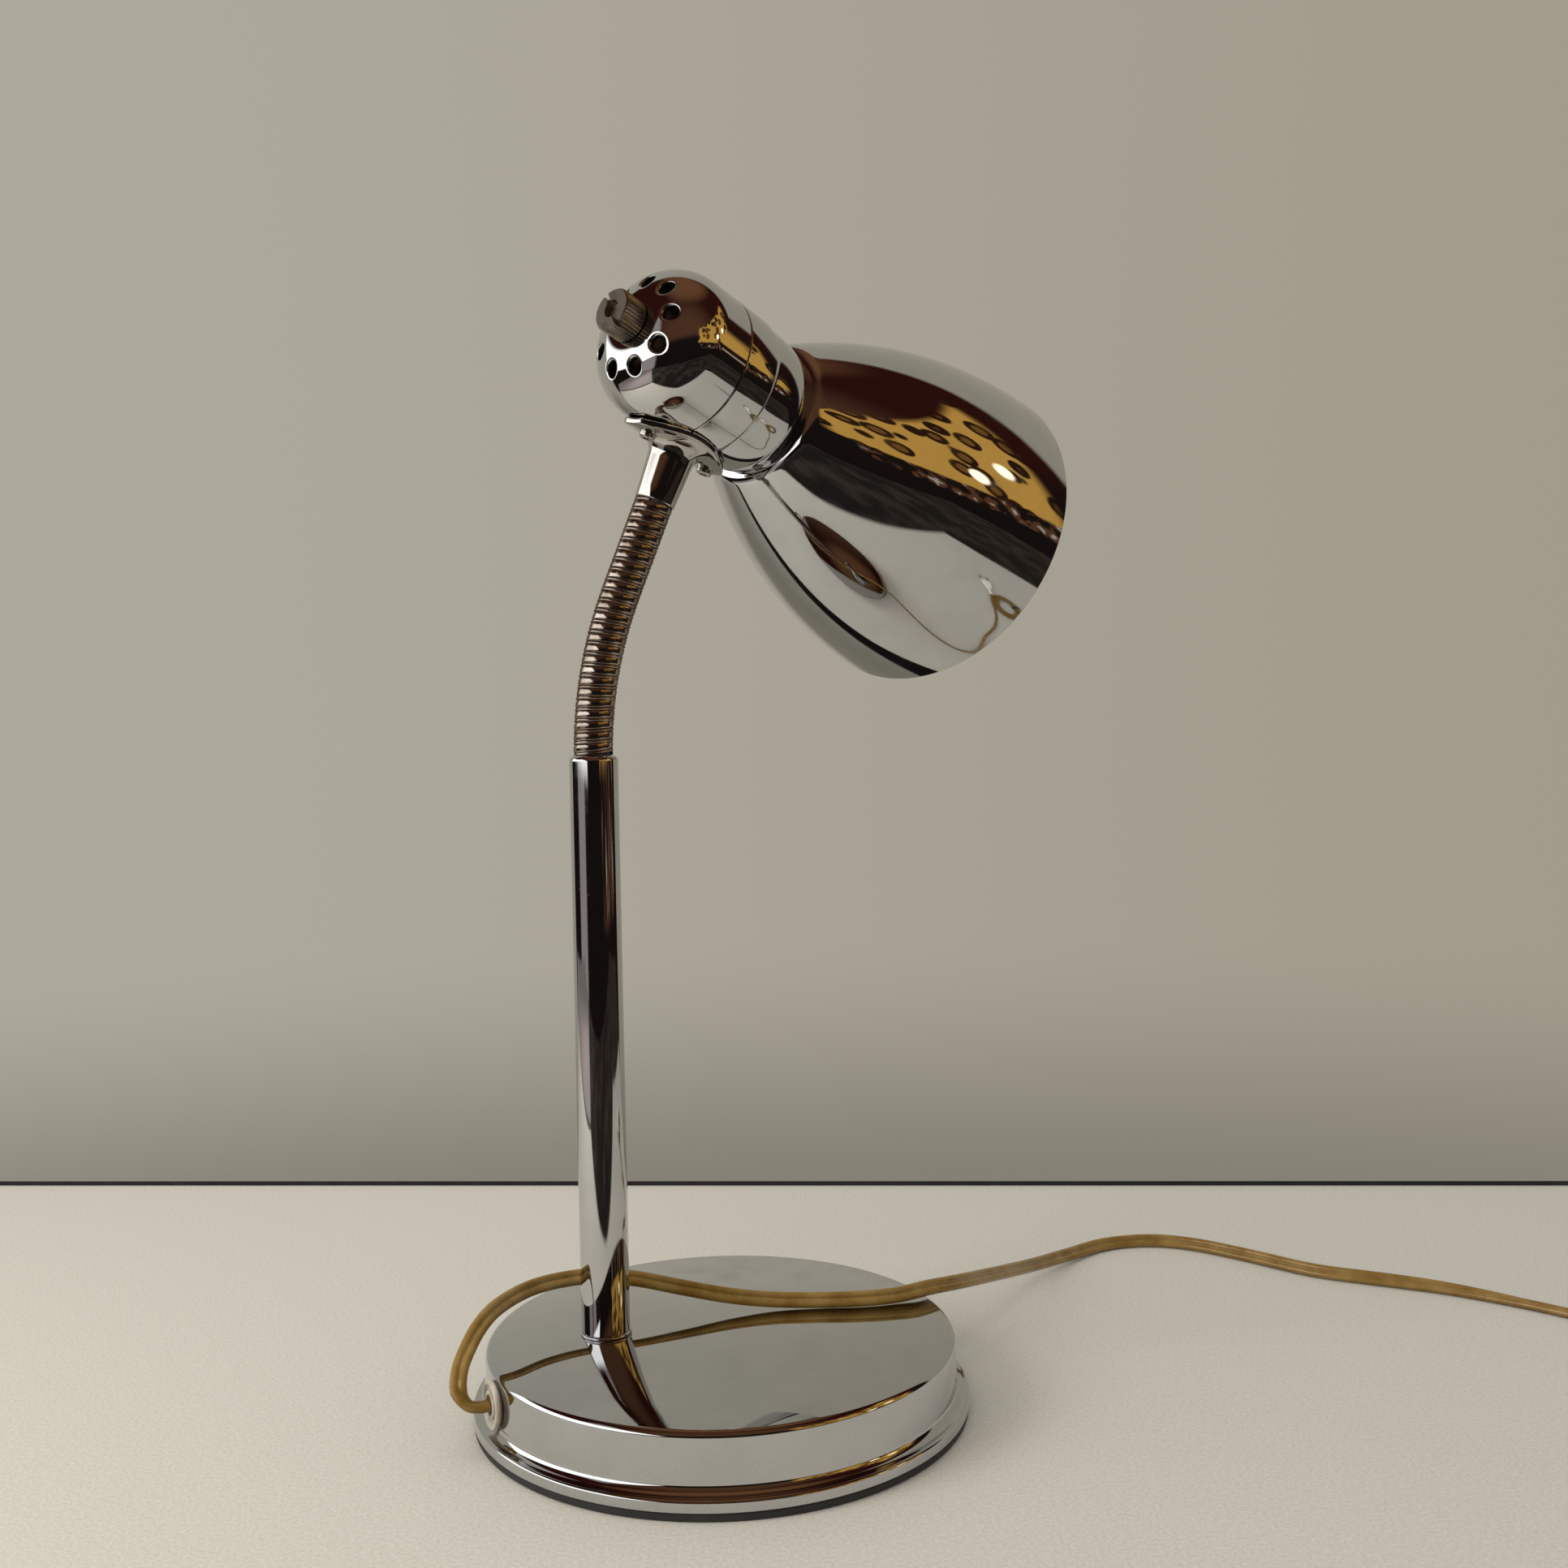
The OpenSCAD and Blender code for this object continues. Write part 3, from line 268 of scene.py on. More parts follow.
amber = amber_plastic()
copper = stranded_copper()
lobe_r, core_r, core_off = flex_thick / 2, 0.8, (flex_width - flex_thick) / 2
roll_at, roll_degrees = [0, 12, 40, 470, 520, 9999], [0, 0, -52, -52, 0, 0]
lobe = [(core_off + lobe_r * math.cos(math.radians(a)), lobe_r * math.sin(math.radians(a)))
        for a in range(-95, 100, 19)]
valley = [(0.9, 1.34), (0.55, 1.18), (0.22, 0.89), (0, 0.76), (-0.22, 0.89), (-0.55, 1.18),
          (-0.9, 1.34)]
flex_outline = lobe + valley + [(-u, -v) for u, v in lobe + valley]
flex_line = smooth(over_the_table + coiled() + into_the_plug, 4)
flex_points, flex_faces = swept(flex_line, flex_outline)
flex_groups = [0] * len(flex_faces)
for core_side in (-1, 1):
    core = [(core_side * core_off + core_r * math.cos(k * math.pi / 4),
             core_r * math.sin(k * math.pi / 4)) for k in range(8)]
    core_points, core_faces = swept(flex_line, core, len(flex_points))
    flex_points += core_points
    flex_faces += core_faces
    flex_groups += [1] * len(core_faces)
flex = piece("lead", flex_points, flex_faces, "base", [amber, copper], flex_groups)
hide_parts("supply_cord", "cord_coil", "cord_tail")

# ---------------------------------------------------------------- plug and tie
# A flat two-pin mains plug, moulded in off-white plastic in one with its strain relief.
# The pins are nickelled brass with insulated sleeves next to the body, and a black plastic
# tie holds the coil.


def off_white_plastic():
    material, nodes, links, surface = shader(
        "off_white_plastic", (0.80, 0.78, 0.70), roughness=0.36, IOR=1.5,
        Subsurface_Weight=0.15, Subsurface_Scale=0.002,
    )
    dust = grain(nodes, links, 11, 5)
    links.new(tinted(nodes, links, dust, (0.70, 0.67, 0.57), (0.83, 0.81, 0.74)),
              surface.inputs["Base Color"])
    links.new(spread(nodes, links, grain(nodes, links, 3, 4), 0.28, 0.5),
              surface.inputs["Roughness"])
    dented(nodes, links, surface, grain(nodes, links, 0.5, 2), 0.02)
    return material


def nickel(name, color, smudge=(0.1, 0.26)):
    material, nodes, links, surface = shader(name, color, metallic=1.0, roughness=0.18)
    film = grain(nodes, links, 4, 5)
    links.new(tinted(nodes, links, film, [c * 0.8 for c in color], color),
              surface.inputs["Base Color"])
    links.new(spread(nodes, links, film, smudge[1], smudge[0]), surface.inputs["Roughness"])
    dented(nodes, links, surface, grain(nodes, links, 0.7, 3), 0.006)
    return material


def black_plastic(name="black_plastic", color=(0.022, 0.021, 0.02), gloss=0.42):
    material, nodes, links, surface = shader(name, color, roughness=gloss)
    dust = grain(nodes, links, 7, 6)
    links.new(tinted(nodes, links, dust, color, [c * 2.2 for c in color]),
              surface.inputs["Base Color"])
    links.new(spread(nodes, links, dust, gloss - 0.1, gloss + 0.15),
              surface.inputs["Roughness"])
    dented(nodes, links, surface, grain(nodes, links, 0.6, 2), 0.03)
    return material


def arc(center_r, center_h, radius, start, end, steps):
    """Points of an arc in a (radius, height) outline, angles in degrees."""
    return [(center_r + radius * math.cos(math.radians(start + (end - start) * i / steps)),
             center_h + radius * math.sin(math.radians(start + (end - start) * i / steps)))
            for i in range(steps + 1)]


def turned(name, outline, body, materials, place=Matrix(), around=160, kinds=None,
           closed=True, sharp=28):
    """A piece turned round the local Z of place, from (radius, height) points; kinds says
    which material each stretch between two points has."""
    points, rings = [], []
    for r, h in outline:
        if r < 1e-6:
            rings.append([len(points)])
            points.append(place @ Vector((0, 0, h)))
        else:
            rings.append(list(range(len(points), len(points) + around)))
            points += [place @ Vector((r * math.cos(2 * math.pi * k / around),
                                       r * math.sin(2 * math.pi * k / around), h))
                       for k in range(around)]
    faces, groups = [], []
    pairs = [(i, i + 1) for i in range(len(rings) - 1)]
    if closed and len(rings[0]) > 1:
        pairs.append((len(rings) - 1, 0))
    for number, (i, j) in enumerate(pairs):
        a, b = rings[i], rings[j]
        if len(a) == 1 and len(b) == 1:
            continue
        for k in range(around):
            n = (k + 1) % around
            if len(a) == 1:
                faces.append((a[0], b[n], b[k]))
            elif len(b) == 1:
                faces.append((a[k], a[n], b[0]))
            else:
                faces.append((a[k], a[n], b[n], b[k]))
            groups.append(kinds[number] if kinds else 0)
    return crease(piece(name, points, faces, body, materials, groups), sharp)


def paint(names, material):
    """Gives CAD pieces whose shape is right their finish."""
    for name in names:
        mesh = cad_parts[name].data
        mesh.materials.clear()
        mesh.materials.append(material)


off_white = off_white_plastic()
bright_nickel = nickel("bright_nickel", (0.62, 0.60, 0.55))
plug_place = (Matrix.Translation(into_the_plug[-1])
              @ Matrix.Rotation(math.radians(-48), 4, "Z"))
relief_length, plug_length = 20, 34
# Distance along the plug, half width, half height and squareness: first the eight ribs of
# the strain relief, then the body
plug_sections = []
for rib in range(8):
    x = 0.2 + rib * 2.4
    r = 3.3 + 0.14 * rib
    plug_sections += [(x, r - 0.5, r - 0.7, 2.2), (x + 0.3, r, r - 0.25, 2.2),
                      (x + 1.5, r + 0.05, r - 0.2, 2.2), (x + 1.8, r - 0.45, r - 0.65, 2.2)]
plug_sections += [
    (20, 4.6, 4.1, 2.2), (20.8, 6.4, 5.2, 2.6), (23, 7.6, 6.0, 3.0), (28, 9.3, 6.35, 3.2),
    (34, 11.2, 6.45, 3.4), (38, 12.1, 6.45, 3.6), (44, 12.4, 6.45, 3.8),
    (52.6, 12.4, 6.45, 3.8), (53.6, 12.0, 6.1, 3.6), (54, 11.2, 5.5, 3.4),
]
plug_points, plug_faces, plug_around = [], [], 40
for x, half_w, half_h, square in plug_sections:
    for k in range(plug_around):
        c, s = math.cos(2 * math.pi * k / plug_around), math.sin(2 * math.pi * k / plug_around)
        plug_points.append(plug_place @ Vector((
            x, half_w * math.copysign(abs(c) ** (2 / square), c),
            half_h * math.copysign(abs(s) ** (2 / square), s),
        )))
for i in range(len(plug_sections) - 1):
    for k in range(plug_around):
        n = (k + 1) % plug_around
        plug_faces.append((i * plug_around + k, i * plug_around + n,
                           (i + 1) * plug_around + n, (i + 1) * plug_around + k))
plug_faces.append(tuple(reversed(range(plug_around))))
plug_faces.append(tuple((len(plug_sections) - 1) * plug_around + k for k in range(plug_around)))
plug = crease(piece("plug", plug_points, plug_faces, "base", [off_white]), 38)
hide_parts("plug_body")

pin_outline = [(0, 0), (2.0, 0), (2.0, 9.9), (1.95, 10), (2.05, 10.05), (2.15, 10.2),
               (2.15, 17.4), (1.9, 18.4), (1.3, 18.9), (0, 19)]
pin_kinds = [1, 1, 1] + [0] * 6
black = black_plastic()
paint(["coil_tie"], black)
for side, word in ((-1, "right"), (1, "left")):
    pin = turned(
        "plug_pin_" + word, pin_outline, "base", [bright_nickel, black],
        plug_place @ Matrix.Translation((relief_length + plug_length, side * 9.3, 0))
        @ Matrix.Rotation(math.pi / 2, 4, "Y"),
        around=32, kinds=pin_kinds,
    )
    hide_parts("plug_pins")

# ---------------------------------------------------------------- base
# A steel cover pressed over a cast weight, polished and chromed: a flat mirror top, an
# upright wall, a cove and a thin rolled foot lip. A black rubber pad closes it below.


def arithmetic(nodes, links, operation, *values):
    """One step of arithmetic between numbers and sockets."""
    node = nodes.new("ShaderNodeMath")
    node.operation = operation
    for socket, value in zip(node.inputs, values):
        if isinstance(value, (int, float)):
            socket.default_value = value
        else:
            links.new(value, socket)
    return node.outputs["Value"]


def chrome(name, color, smears=(0.018, 0.075)):
    """Mirror plating with finger smears, polishing haze, dust and a faint waviness."""
    material, nodes, links, surface = shader(name, color, metallic=1.0, roughness=0.04)
    film = grain(nodes, links, 16, 6, rough=0.62)
    dust = grain(nodes, links, 0.9, 2)
    dull = arithmetic(nodes, links, "ADD",
                      spread(nodes, links, film, smears[0], smears[1], (0.42, 0.72)),
                      spread(nodes, links, dust, 0.0, 0.16, (0.70, 0.78)))
    links.new(dull, surface.inputs["Roughness"])
    links.new(tinted(nodes, links, film, color, [c * 0.93 for c in color]),
              surface.inputs["Base Color"])
    waves = arithmetic(nodes, links, "MULTIPLY_ADD", grain(nodes, links, 0.5, 2), 0.02,
                       grain(nodes, links, 26, 1))
    dented(nodes, links, surface, waves, 0.05)
    return material


base_chrome = chrome("base_chrome", (0.57, 0.58, 0.585))
bare_steel = nickel("bare_steel", (0.34, 0.33, 0.32), (0.3, 0.5))
pad_rubber = black_plastic("pad_rubber", (0.012, 0.012, 0.012), 0.62)
wall_r, foot_r, pad_top, top_z, cover_wall = 76.8, 81, 2.6, 24, 1.2
lip_top, lip_r, cove_r, top_edge = 6.4, 1, 2.8, 2
cover_outline = (
    [(0, top_z), (60, top_z)]
    + arc(wall_r - top_edge, top_z - top_edge, top_edge, 90, 0, 10)
    + arc(wall_r + cove_r, lip_top + cove_r, cove_r, 180, 270, 10)
    + arc(foot_r - lip_r, lip_top - lip_r, lip_r, 90, 0, 6)
    + [(foot_r, pad_top + 0.35), (foot_r - 0.25, pad_top), (foot_r - cover_wall, pad_top),
       (foot_r - cover_wall, lip_top - cover_wall), (wall_r - cover_wall, lip_top + 1.5),
       (wall_r - cover_wall, top_z - 1.4), (0, top_z - 1.4)]
)
cover_kinds = [0] * (len(cover_outline) - 6) + [1] * 6
# Listed from the inside to the outside, so that its faces look outwards
cover = turned("base_shell", cover_outline[::-1], "base", [base_chrome, bare_steel],
               around=288, kinds=cover_kinds[-2::-1])
# The pressed top is crowned as slightly as a dome of 0.28 m radius, which shows only in
# what it mirrors: its shading tilts by this much for each millimetre from the middle
crown_tilt = 0.0036
crowned = []
for face in cover.data.polygons:
    for loop in face.loop_indices:
        way = Vector(cover.data.corner_normals[loop].vector)
        at = cover.data.vertices[cover.data.loops[loop].vertex_index].co / MM
        if face.material_index == 0 and at.z > top_z - top_edge - 0.01:
            way = (way + Vector((at.x, at.y, 0)) * crown_tilt * way.z).normalized()
        crowned.append(tuple(way))
cover.data.normals_split_custom_set(crowned)
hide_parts("base_cover")

pad_outline = [(0, 0), (79.9, 0), (80.6, 0.5), (80.6, 2.2), (80.3, pad_top), (0, pad_top)]
pad = turned("foot_cushion", pad_outline, "base", [pad_rubber], around=192)
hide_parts("foot_pad")

cast_iron = black_plastic("cast_iron", (0.05, 0.047, 0.045), 0.7)
zinc = nickel("zinc_plate", (0.52, 0.53, 0.55), (0.22, 0.42))
paint(["base_weight"], cast_iron)
paint(["bottom_plate", "bottom_plate_screws", "cord_clip", "cord_clip_screws"], zinc)

# ---------------------------------------------------------------- grommet
# A soft, milky plastic bush that snaps into the wall of the base. Its face is dished
# round the lead, and light passes through its rim.


def milky_plastic():
    material, nodes, links, surface = shader(
        "milky_plastic", (0.54, 0.50, 0.40), roughness=0.32, IOR=1.49,
        Subsurface_Weight=0.4, Subsurface_Scale=0.003, Transmission_Weight=0.3,
    )
    links.new(tinted(nodes, links, grain(nodes, links, 3.5, 4),
                     (0.44, 0.40, 0.31), (0.60, 0.57, 0.48)), surface.inputs["Base Color"])
    dented(nodes, links, surface, grain(nodes, links, 0.6, 2), 0.02)
    return material


grommet_place = (Matrix.Rotation(exit_angle, 4, "Z")
                 @ Matrix.Translation((wall_r + 0.05, 0, exit_height))
                 @ Matrix.Rotation(math.pi / 2, 4, "Y"))
grommet_outline = (
    [(3.05, -3.4), (5.1, -3.4), (5.1, 0.05), (6.7, 0.05), (7.68, 1.0)]
    + arc(7.08, 1.6, 0.6, 0, 90, 5) + [(6.6, 2.2), (6.2, 2.05), (5.6, 1.35), (4.7, 1.35)]
    + [(4.4, 1.5), (4.2, 2.1), (3.9, 2.2), (3.3, 2.2), (3.05, 2.0)]
)
grommet = turned("lead_bush", grommet_outline, "base", [milky_plastic()], grommet_place, 72)
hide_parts("cord_grommet")

# ---------------------------------------------------------------- stem
# Chromed steel tube, 16 mm across, on a small rounded foot ring. Its top is spun in
# round the neck, and a brass nipple with a nut and washer holds it down on the base.

stem_x, stem_r, stem_foot, stem_top = -38.2, 8, 25.1, 214.5
stem_place = Matrix.Translation((stem_x, 0, 0))
stem_chrome = chrome("stem_chrome", (0.58, 0.585, 0.59), (0.02, 0.09))
stem_outline = (
    [(stem_r - 1, stem_foot), (stem_r - 0.25, stem_foot), (stem_r, stem_foot + 0.3)]
    + arc(stem_r - 1.8, stem_top - 1.8, 1.8, 0, 90, 10)
    + [(5.75, stem_top), (5.6, stem_top - 0.2), (5.6, stem_top - 1), (stem_r - 1, stem_top - 2.3)]
)
stem = turned("stem_barrel", stem_outline, "base", [stem_chrome], stem_place)
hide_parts("stem_tube")

ring_outline = [(5.1, 24)] + arc(7.95, 24.55, 0.55, -90, 90, 14) + [(5.1, 25.1)]
ring = turned("stem_foot_bead", ring_outline, "base", [stem_chrome], stem_place)
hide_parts("foot_ring")

brass = nickel("plain_brass", (0.62, 0.43, 0.17), (0.16, 0.34))
paint(["stem_nipple", "stem_foot_bush"], brass)
paint(["stem_nut", "stem_washer"], zinc)
paint(["stem_lead"], amber)

# ---------------------------------------------------------------- neck
# Two steel wires wound tightly into each other: a wide, slightly crowned band and a round
# bead that rides in the groove between its turns. Plated in nickel, a little darkened.

neck_pitch, wire_pitch, links_in_neck = 7.28, 3.53, 11
neck_foot = 217.64
neck_lean, neck_yaw, leaning = 21.4, 14.3, 7.48
head_turn, head_rise = 33.3, 49.44


def tilt(i):
    return neck_lean * min(1, (i + 1) / leaning)


def link_place(i):
    """Where link i starts: the middle of its lower hinge, with Z along the link."""
    reach, height = 0, neck_foot
    for k in range(i):
        reach += neck_pitch * math.sin(math.radians(tilt(k)))
        height += neck_pitch * math.cos(math.radians(tilt(k)))
    return (Matrix.Translation((stem_x, 0, 0))
            @ Matrix.Rotation(math.radians(neck_yaw), 4, "Z")
            @ Matrix.Translation((reach, 0, height))
            @ Matrix.Rotation(math.radians(tilt(i)), 4, "Y"))


def neck_plating():
    material, nodes, links, surface = shader(
        "neck_nickel", (0.44, 0.37, 0.32), metallic=1.0, roughness=0.14)
    film = grain(nodes, links, 5, 5)
    links.new(tinted(nodes, links, film, (0.30, 0.23, 0.185), (0.48, 0.42, 0.365)),
              surface.inputs["Base Color"])
    links.new(spread(nodes, links, film, 0.22, 0.1), surface.inputs["Roughness"])
    # The darkened film turns brown where light meets it at a slant
    surface.inputs["Specular Tint"].default_value = (0.35, 0.28, 0.24, 1)
    dented(nodes, links, surface, grain(nodes, links, 0.8, 3), 0.003)
    return material


band_section = [(5.98, -1.14), (6.24, -1.14), (6.34, -0.99), (6.4, -0.55), (6.42, 0),
                (6.4, 0.55), (6.34, 0.99), (6.24, 1.14), (5.98, 1.14)]
bead_section = [(5.95 + 0.53 * math.cos(k * math.pi / 5), 0.56 * math.sin(k * math.pi / 5))
                for k in range(10)]
bead_at, band_at = -1.18, 0.585
turns_in_link = neck_pitch / wire_pitch
neck_nickel = neck_plating()
dark_inside = black_plastic("dark_inside", (0.02, 0.017, 0.014), 0.5)


def wound(name, body, place, turns_below, first_turn, turns, low=-99, high=99):
    """Some turns of the two wires, their heights kept between low and high; the place has
    so many turns of the neck below it."""
    count = round(56 * turns)
    points, faces = [], []
    for section, middle in ((bead_section, bead_at), (band_section, band_at)):
        n, start = len(section), len(points)
        for i in range(count + 1):
            turn = first_turn + turns * i / count
            angle = 2 * math.pi * (turns_below + turn)
            for r, h in section:
                z = min(high, max(low, wire_pitch * turn + middle + h))
                points.append(place @ Vector((r * math.cos(angle), r * math.sin(angle), z)))
        for i in range(count):
            for k in range(n):
                m = (k + 1) % n
                faces.append((start + i * n + k, start + (i + 1) * n + k,
                              start + (i + 1) * n + m, start + i * n + m))
        faces.append(tuple(start + k for k in range(n)))
        faces.append(tuple(start + count * n + k for k in reversed(range(n))))
    made = crease(piece(name, points, faces, body, [neck_nickel]), 50)
    return made


def neck_core(name, body, place, low, high, ball=None):
    """The lining of the windings, which may end in a ball at the height of the next hinge."""
    outline = [(4.2, low), (5.75, low), (5.75, high - 1.2)]
    if ball is None:
        outline += [(5.75, high), (4.2, high)]
    else:
        ball_r, ball_end = 5.85, 34
        outline += arc(0, ball, ball_r, -38, ball_end, 12)
        outline.append((4.2, ball + ball_r * math.sin(math.radians(ball_end))))
    core = turned(name, outline, body, [dark_inside], place, 48)
    return core


for i in range(links_in_neck):
    label = "%02d" % (i + 1)
    body = "link_" + label
    turns_of_link = wound("neck_turns_" + label, body, link_place(i),
                          i * turns_in_link, 0, turns_in_link)
    neck_core("neck_core_" + label, body, link_place(i), 2.9, 4.8, neck_pitch)
    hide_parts("neck_link_" + label)

foot_place = Matrix.Translation((stem_x, 0, neck_foot))
stem_clear = stem_top - neck_foot + 0.12
foot_turn = wound("neck_foot_turn", "base",
                  foot_place @ Matrix.Rotation(math.radians(neck_yaw), 4, "Z"),
                  0, -1, 1, low=stem_clear)
neck_core("neck_foot_core", "base", foot_place, stem_clear - 3, -1.5, 0)
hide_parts("stem_ferrule")

# ---------------------------------------------------------------- connector and saddle
# A nickelled casting: a round, slightly tapered shank that flares into an oval saddle,
# hollowed to fit the barrel of the cap. Two cross-head screws clamp it on.

head_place = (link_place(links_in_neck) @ Matrix.Translation((0, 0, head_rise))
              @ Matrix.Rotation(math.radians(head_turn), 4, "Z"))
connector_foot = 2.94 - head_rise
wound("neck_top_turn", "head", link_place(links_in_neck), links_in_neck * turns_in_link,
      0, 1, high=2.84)
barrel_r, saddle_wall, saddle_gap = 25.5, 2, 0.3
under_r = barrel_r + saddle_gap + saddle_wall
shank_foot_r, shank_top_r, flare = 6.75, 7.6, 4
saddle_circle_r, saddle_half_w, saddle_trim = 27.88, 12.5, 20.5


def saddle_edge(angle):
    """Distance from the middle of the saddle to its oval outline."""
    c, s = math.cos(angle), abs(math.sin(angle))
    off = saddle_circle_r - saddle_half_w
    side = -off * s + math.sqrt(saddle_circle_r ** 2 - off * off * c * c)
    return min(side, saddle_trim)


def below_barrel(radius, y):
    return -math.sqrt(radius * radius - y * y)


connector_around, connector_lines, flare_rise = 128, [], 0.6
shank_bore_r, edge_round = 4.2, 0.4
flare_foot = -under_r - flare - flare_rise
for k in range(connector_around):
    angle = 2 * math.pi * k / connector_around
    c, s = math.cos(angle), math.sin(angle)
    line = [(shank_bore_r, connector_foot), (6.45, connector_foot), (6.7, connector_foot + 0.2)]
    for j in range(5):
        t = j / 4
        line.append((shank_foot_r + (shank_top_r - shank_foot_r) * t,
                     connector_foot + 0.4 + (flare_foot - connector_foot - 0.4) * t))
    for j in range(1, 11):
        a = j * math.pi / 20
        rho = shank_top_r + flare * (1 - math.cos(a))
        line.append((rho, below_barrel(under_r, rho * s)
                     - (flare + flare_rise) * (1 - math.sin(a))))
    edge = saddle_edge(angle)
    start = shank_top_r + flare
    for j in range(1, 7):
        rho = start + (edge - 0.5 - start) * j / 6
        line.append((rho, below_barrel(under_r, rho * s)))
    line.append((edge - 0.15, below_barrel(under_r - 0.15, edge * s)))
    line.append((edge, below_barrel(under_r - 0.5, edge * s)))
    line.append((edge, below_barrel(barrel_r + saddle_gap + edge_round, edge * s)))
    line.append((edge - edge_round, below_barrel(barrel_r + saddle_gap, edge * s)))
    for j in range(1, 7):
        rho = edge - edge_round + (shank_bore_r - edge + edge_round) * j / 6
        line.append((rho, below_barrel(barrel_r + saddle_gap, rho * s)))
    connector_lines.append([head_place @ Vector((rho * c, rho * s, z)) for rho, z in line])
connector_rings = list(zip(*connector_lines))
connector_points = [p for ring in connector_rings for p in ring]
connector_faces = []
for i in range(len(connector_rings)):
    j = (i + 1) % len(connector_rings)
    for k in range(connector_around):
        n = (k + 1) % connector_around
        connector_faces.append((i * connector_around + k, i * connector_around + n,
                                j * connector_around + n, j * connector_around + k))
shank_nickel = chrome("shank_nickel", (0.56, 0.54, 0.51), (0.04, 0.14))
connector = crease(piece("saddle_connector", connector_points, connector_faces, "head",
                         [shank_nickel]), 32)
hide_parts("neck_connector")
neck_core("neck_top_core", "head", link_place(links_in_neck), 1.0, 4.0)
paint(["saddle_screws"], bright_nickel)

# ---------------------------------------------------------------- cap
# The rear cap is drawn from thin steel and chromed: a short barrel, a big rounded corner
# and a small flat end for the switch. Nine vent holes have rolled-in rims.

axis_place = head_place @ Matrix.Rotation(math.pi / 2, 4, "Y")
cap_seam, cap_corner, cap_flat = -5, 17.5, 8
cap_end = cap_seam - 11.5 - cap_corner
corner_h = cap_end + cap_corner
head_chrome = chrome("head_chrome", (0.62, 0.625, 0.63), (0.018, 0.08))
# Unplated steel for the cap's inside, the vent holes' walls and the carrier, painted darker than
# such steel: painted shade that keeps the seam and the vents dark
inside_steel_and_shade = nickel("inside_steel_and_shade", (0.11, 0.105, 0.10), (0.35, 0.55))
paint(["holder_carrier"], inside_steel_and_shade)
switch_hole_r, sheet, seam_round = 5.2, 1, 0.45
cap_outside = (
    [(switch_hole_r, cap_end + sheet), (switch_hole_r, cap_end)]
    + arc(cap_flat, corner_h, cap_corner, -90, 0, 40)
    + arc(barrel_r - seam_round, cap_seam - seam_round, seam_round, 0, 90, 5)
)
cap_inside = ([(barrel_r - sheet, cap_seam)]
              + arc(cap_flat, corner_h, cap_corner - sheet, 0, -90, 24))
cap = turned("vented_cap", cap_outside + cap_inside, "head", [head_chrome, inside_steel_and_shade],
             axis_place, around=224, kinds=[0] * len(cap_outside) + [1] * len(cap_inside))
vent_r, vent_rim, rim_depth, rim_reach = 2.6, 0.95, 0.65, 0.9
vent_ring, vents, first_vent = 15.3, 9, -7


def cap_height(x, y):
    """Height of the cap's end, x and y off its axis."""
    out = max(0, math.hypot(x, y) - cap_flat)
    return corner_h - math.sqrt(cap_corner ** 2 - out ** 2)


sides, rim_steps = 48, 10
cutter_points, cutter_faces, rim_points, rim_faces, rim_groups = [], [], [], [], []
for vent in range(vents):
    turn = math.radians(first_vent + 360 / vents * vent)
    middle = (-vent_ring * math.cos(turn), -vent_ring * math.sin(turn))
    first = len(cutter_points)
    for h in (cap_end - 2, cap_end + 12):
        for k in range(sides):
            a = 2 * math.pi * k / sides
            cutter_points.append(axis_place @ Vector((
                middle[0] + (vent_r + vent_rim) * math.cos(a),
                middle[1] + (vent_r + vent_rim) * math.sin(a), h)) * MM)
    for k in range(sides):
        n = (k + 1) % sides
        cutter_faces.append((first + k, first + n, first + sides + n, first + sides + k))
    cutter_faces.append(tuple(first + k for k in reversed(range(sides))))
    cutter_faces.append(tuple(first + sides + k for k in range(sides)))
    # Rolled rim: from the cap's face over a quarter round and down into the hole
    first = len(rim_points)
    for k in range(sides):
        a = 2 * math.pi * k / sides
        for j in range(rim_steps + 2):
            b = min(j, rim_steps) * math.pi / 2 / rim_steps
            r = vent_r + vent_rim * (1 - math.sin(b))
            x, y = middle[0] + r * math.cos(a), middle[1] + r * math.sin(a)
            h = cap_height(x, y) + rim_depth * (1 - math.cos(b))
            if j > rim_steps:
                h += rim_reach
            rim_points.append(axis_place @ Vector((x, y, h)))
    for k in range(sides):
        this = first + k * (rim_steps + 2)
        after = first + (k + 1) % sides * (rim_steps + 2)
        for j in range(rim_steps + 1):
            rim_faces.append((this + j, this + j + 1, after + j + 1, after + j))
            rim_groups.append(1 if j == rim_steps else 0)
cutter_mesh = bpy.data.meshes.new("vent_cutter")
cutter_mesh.from_pydata([tuple(p) for p in cutter_points], [], cutter_faces)
cutter = bpy.data.objects.new("vent_cutter", cutter_mesh)
scene.collection.objects.link(cutter)
drill = cap.modifiers.new("drill", "BOOLEAN")
drill.object, drill.solver = cutter, "EXACT"
bpy.context.view_layer.update()
drilled = bpy.data.meshes.new_from_object(cap.evaluated_get(
    bpy.context.evaluated_depsgraph_get()))
cap.modifiers.remove(drill)
cap.data = drilled
bpy.data.objects.remove(cutter)
back = axis_place.inverted()
lathe_turn = axis_place.to_3x3()
drilled.polygons.foreach_set("use_smooth", [True] * len(drilled.polygons))
crease(cap, 28)
normals = [Vector(n.vector) for n in drilled.corner_normals]
for face in drilled.polygons:
    local_way = lathe_turn.inverted() @ face.normal
    for loop in face.loop_indices:
        p = back @ (drilled.vertices[drilled.loops[loop].vertex_index].co / MM)
        r = math.hypot(p.x, p.y)
        if p.z > corner_h:
            true_way = Vector((p.x / r, p.y / r, 0))
        elif r > cap_flat:
            true_way = Vector((p.x / r * (r - cap_flat), p.y / r * (r - cap_flat),
                               p.z - corner_h)).normalized()
        else:
            true_way = Vector((0, 0, -1))
        if true_way.dot(local_way) > 0.96:
            normals[loop] = lathe_turn @ true_way
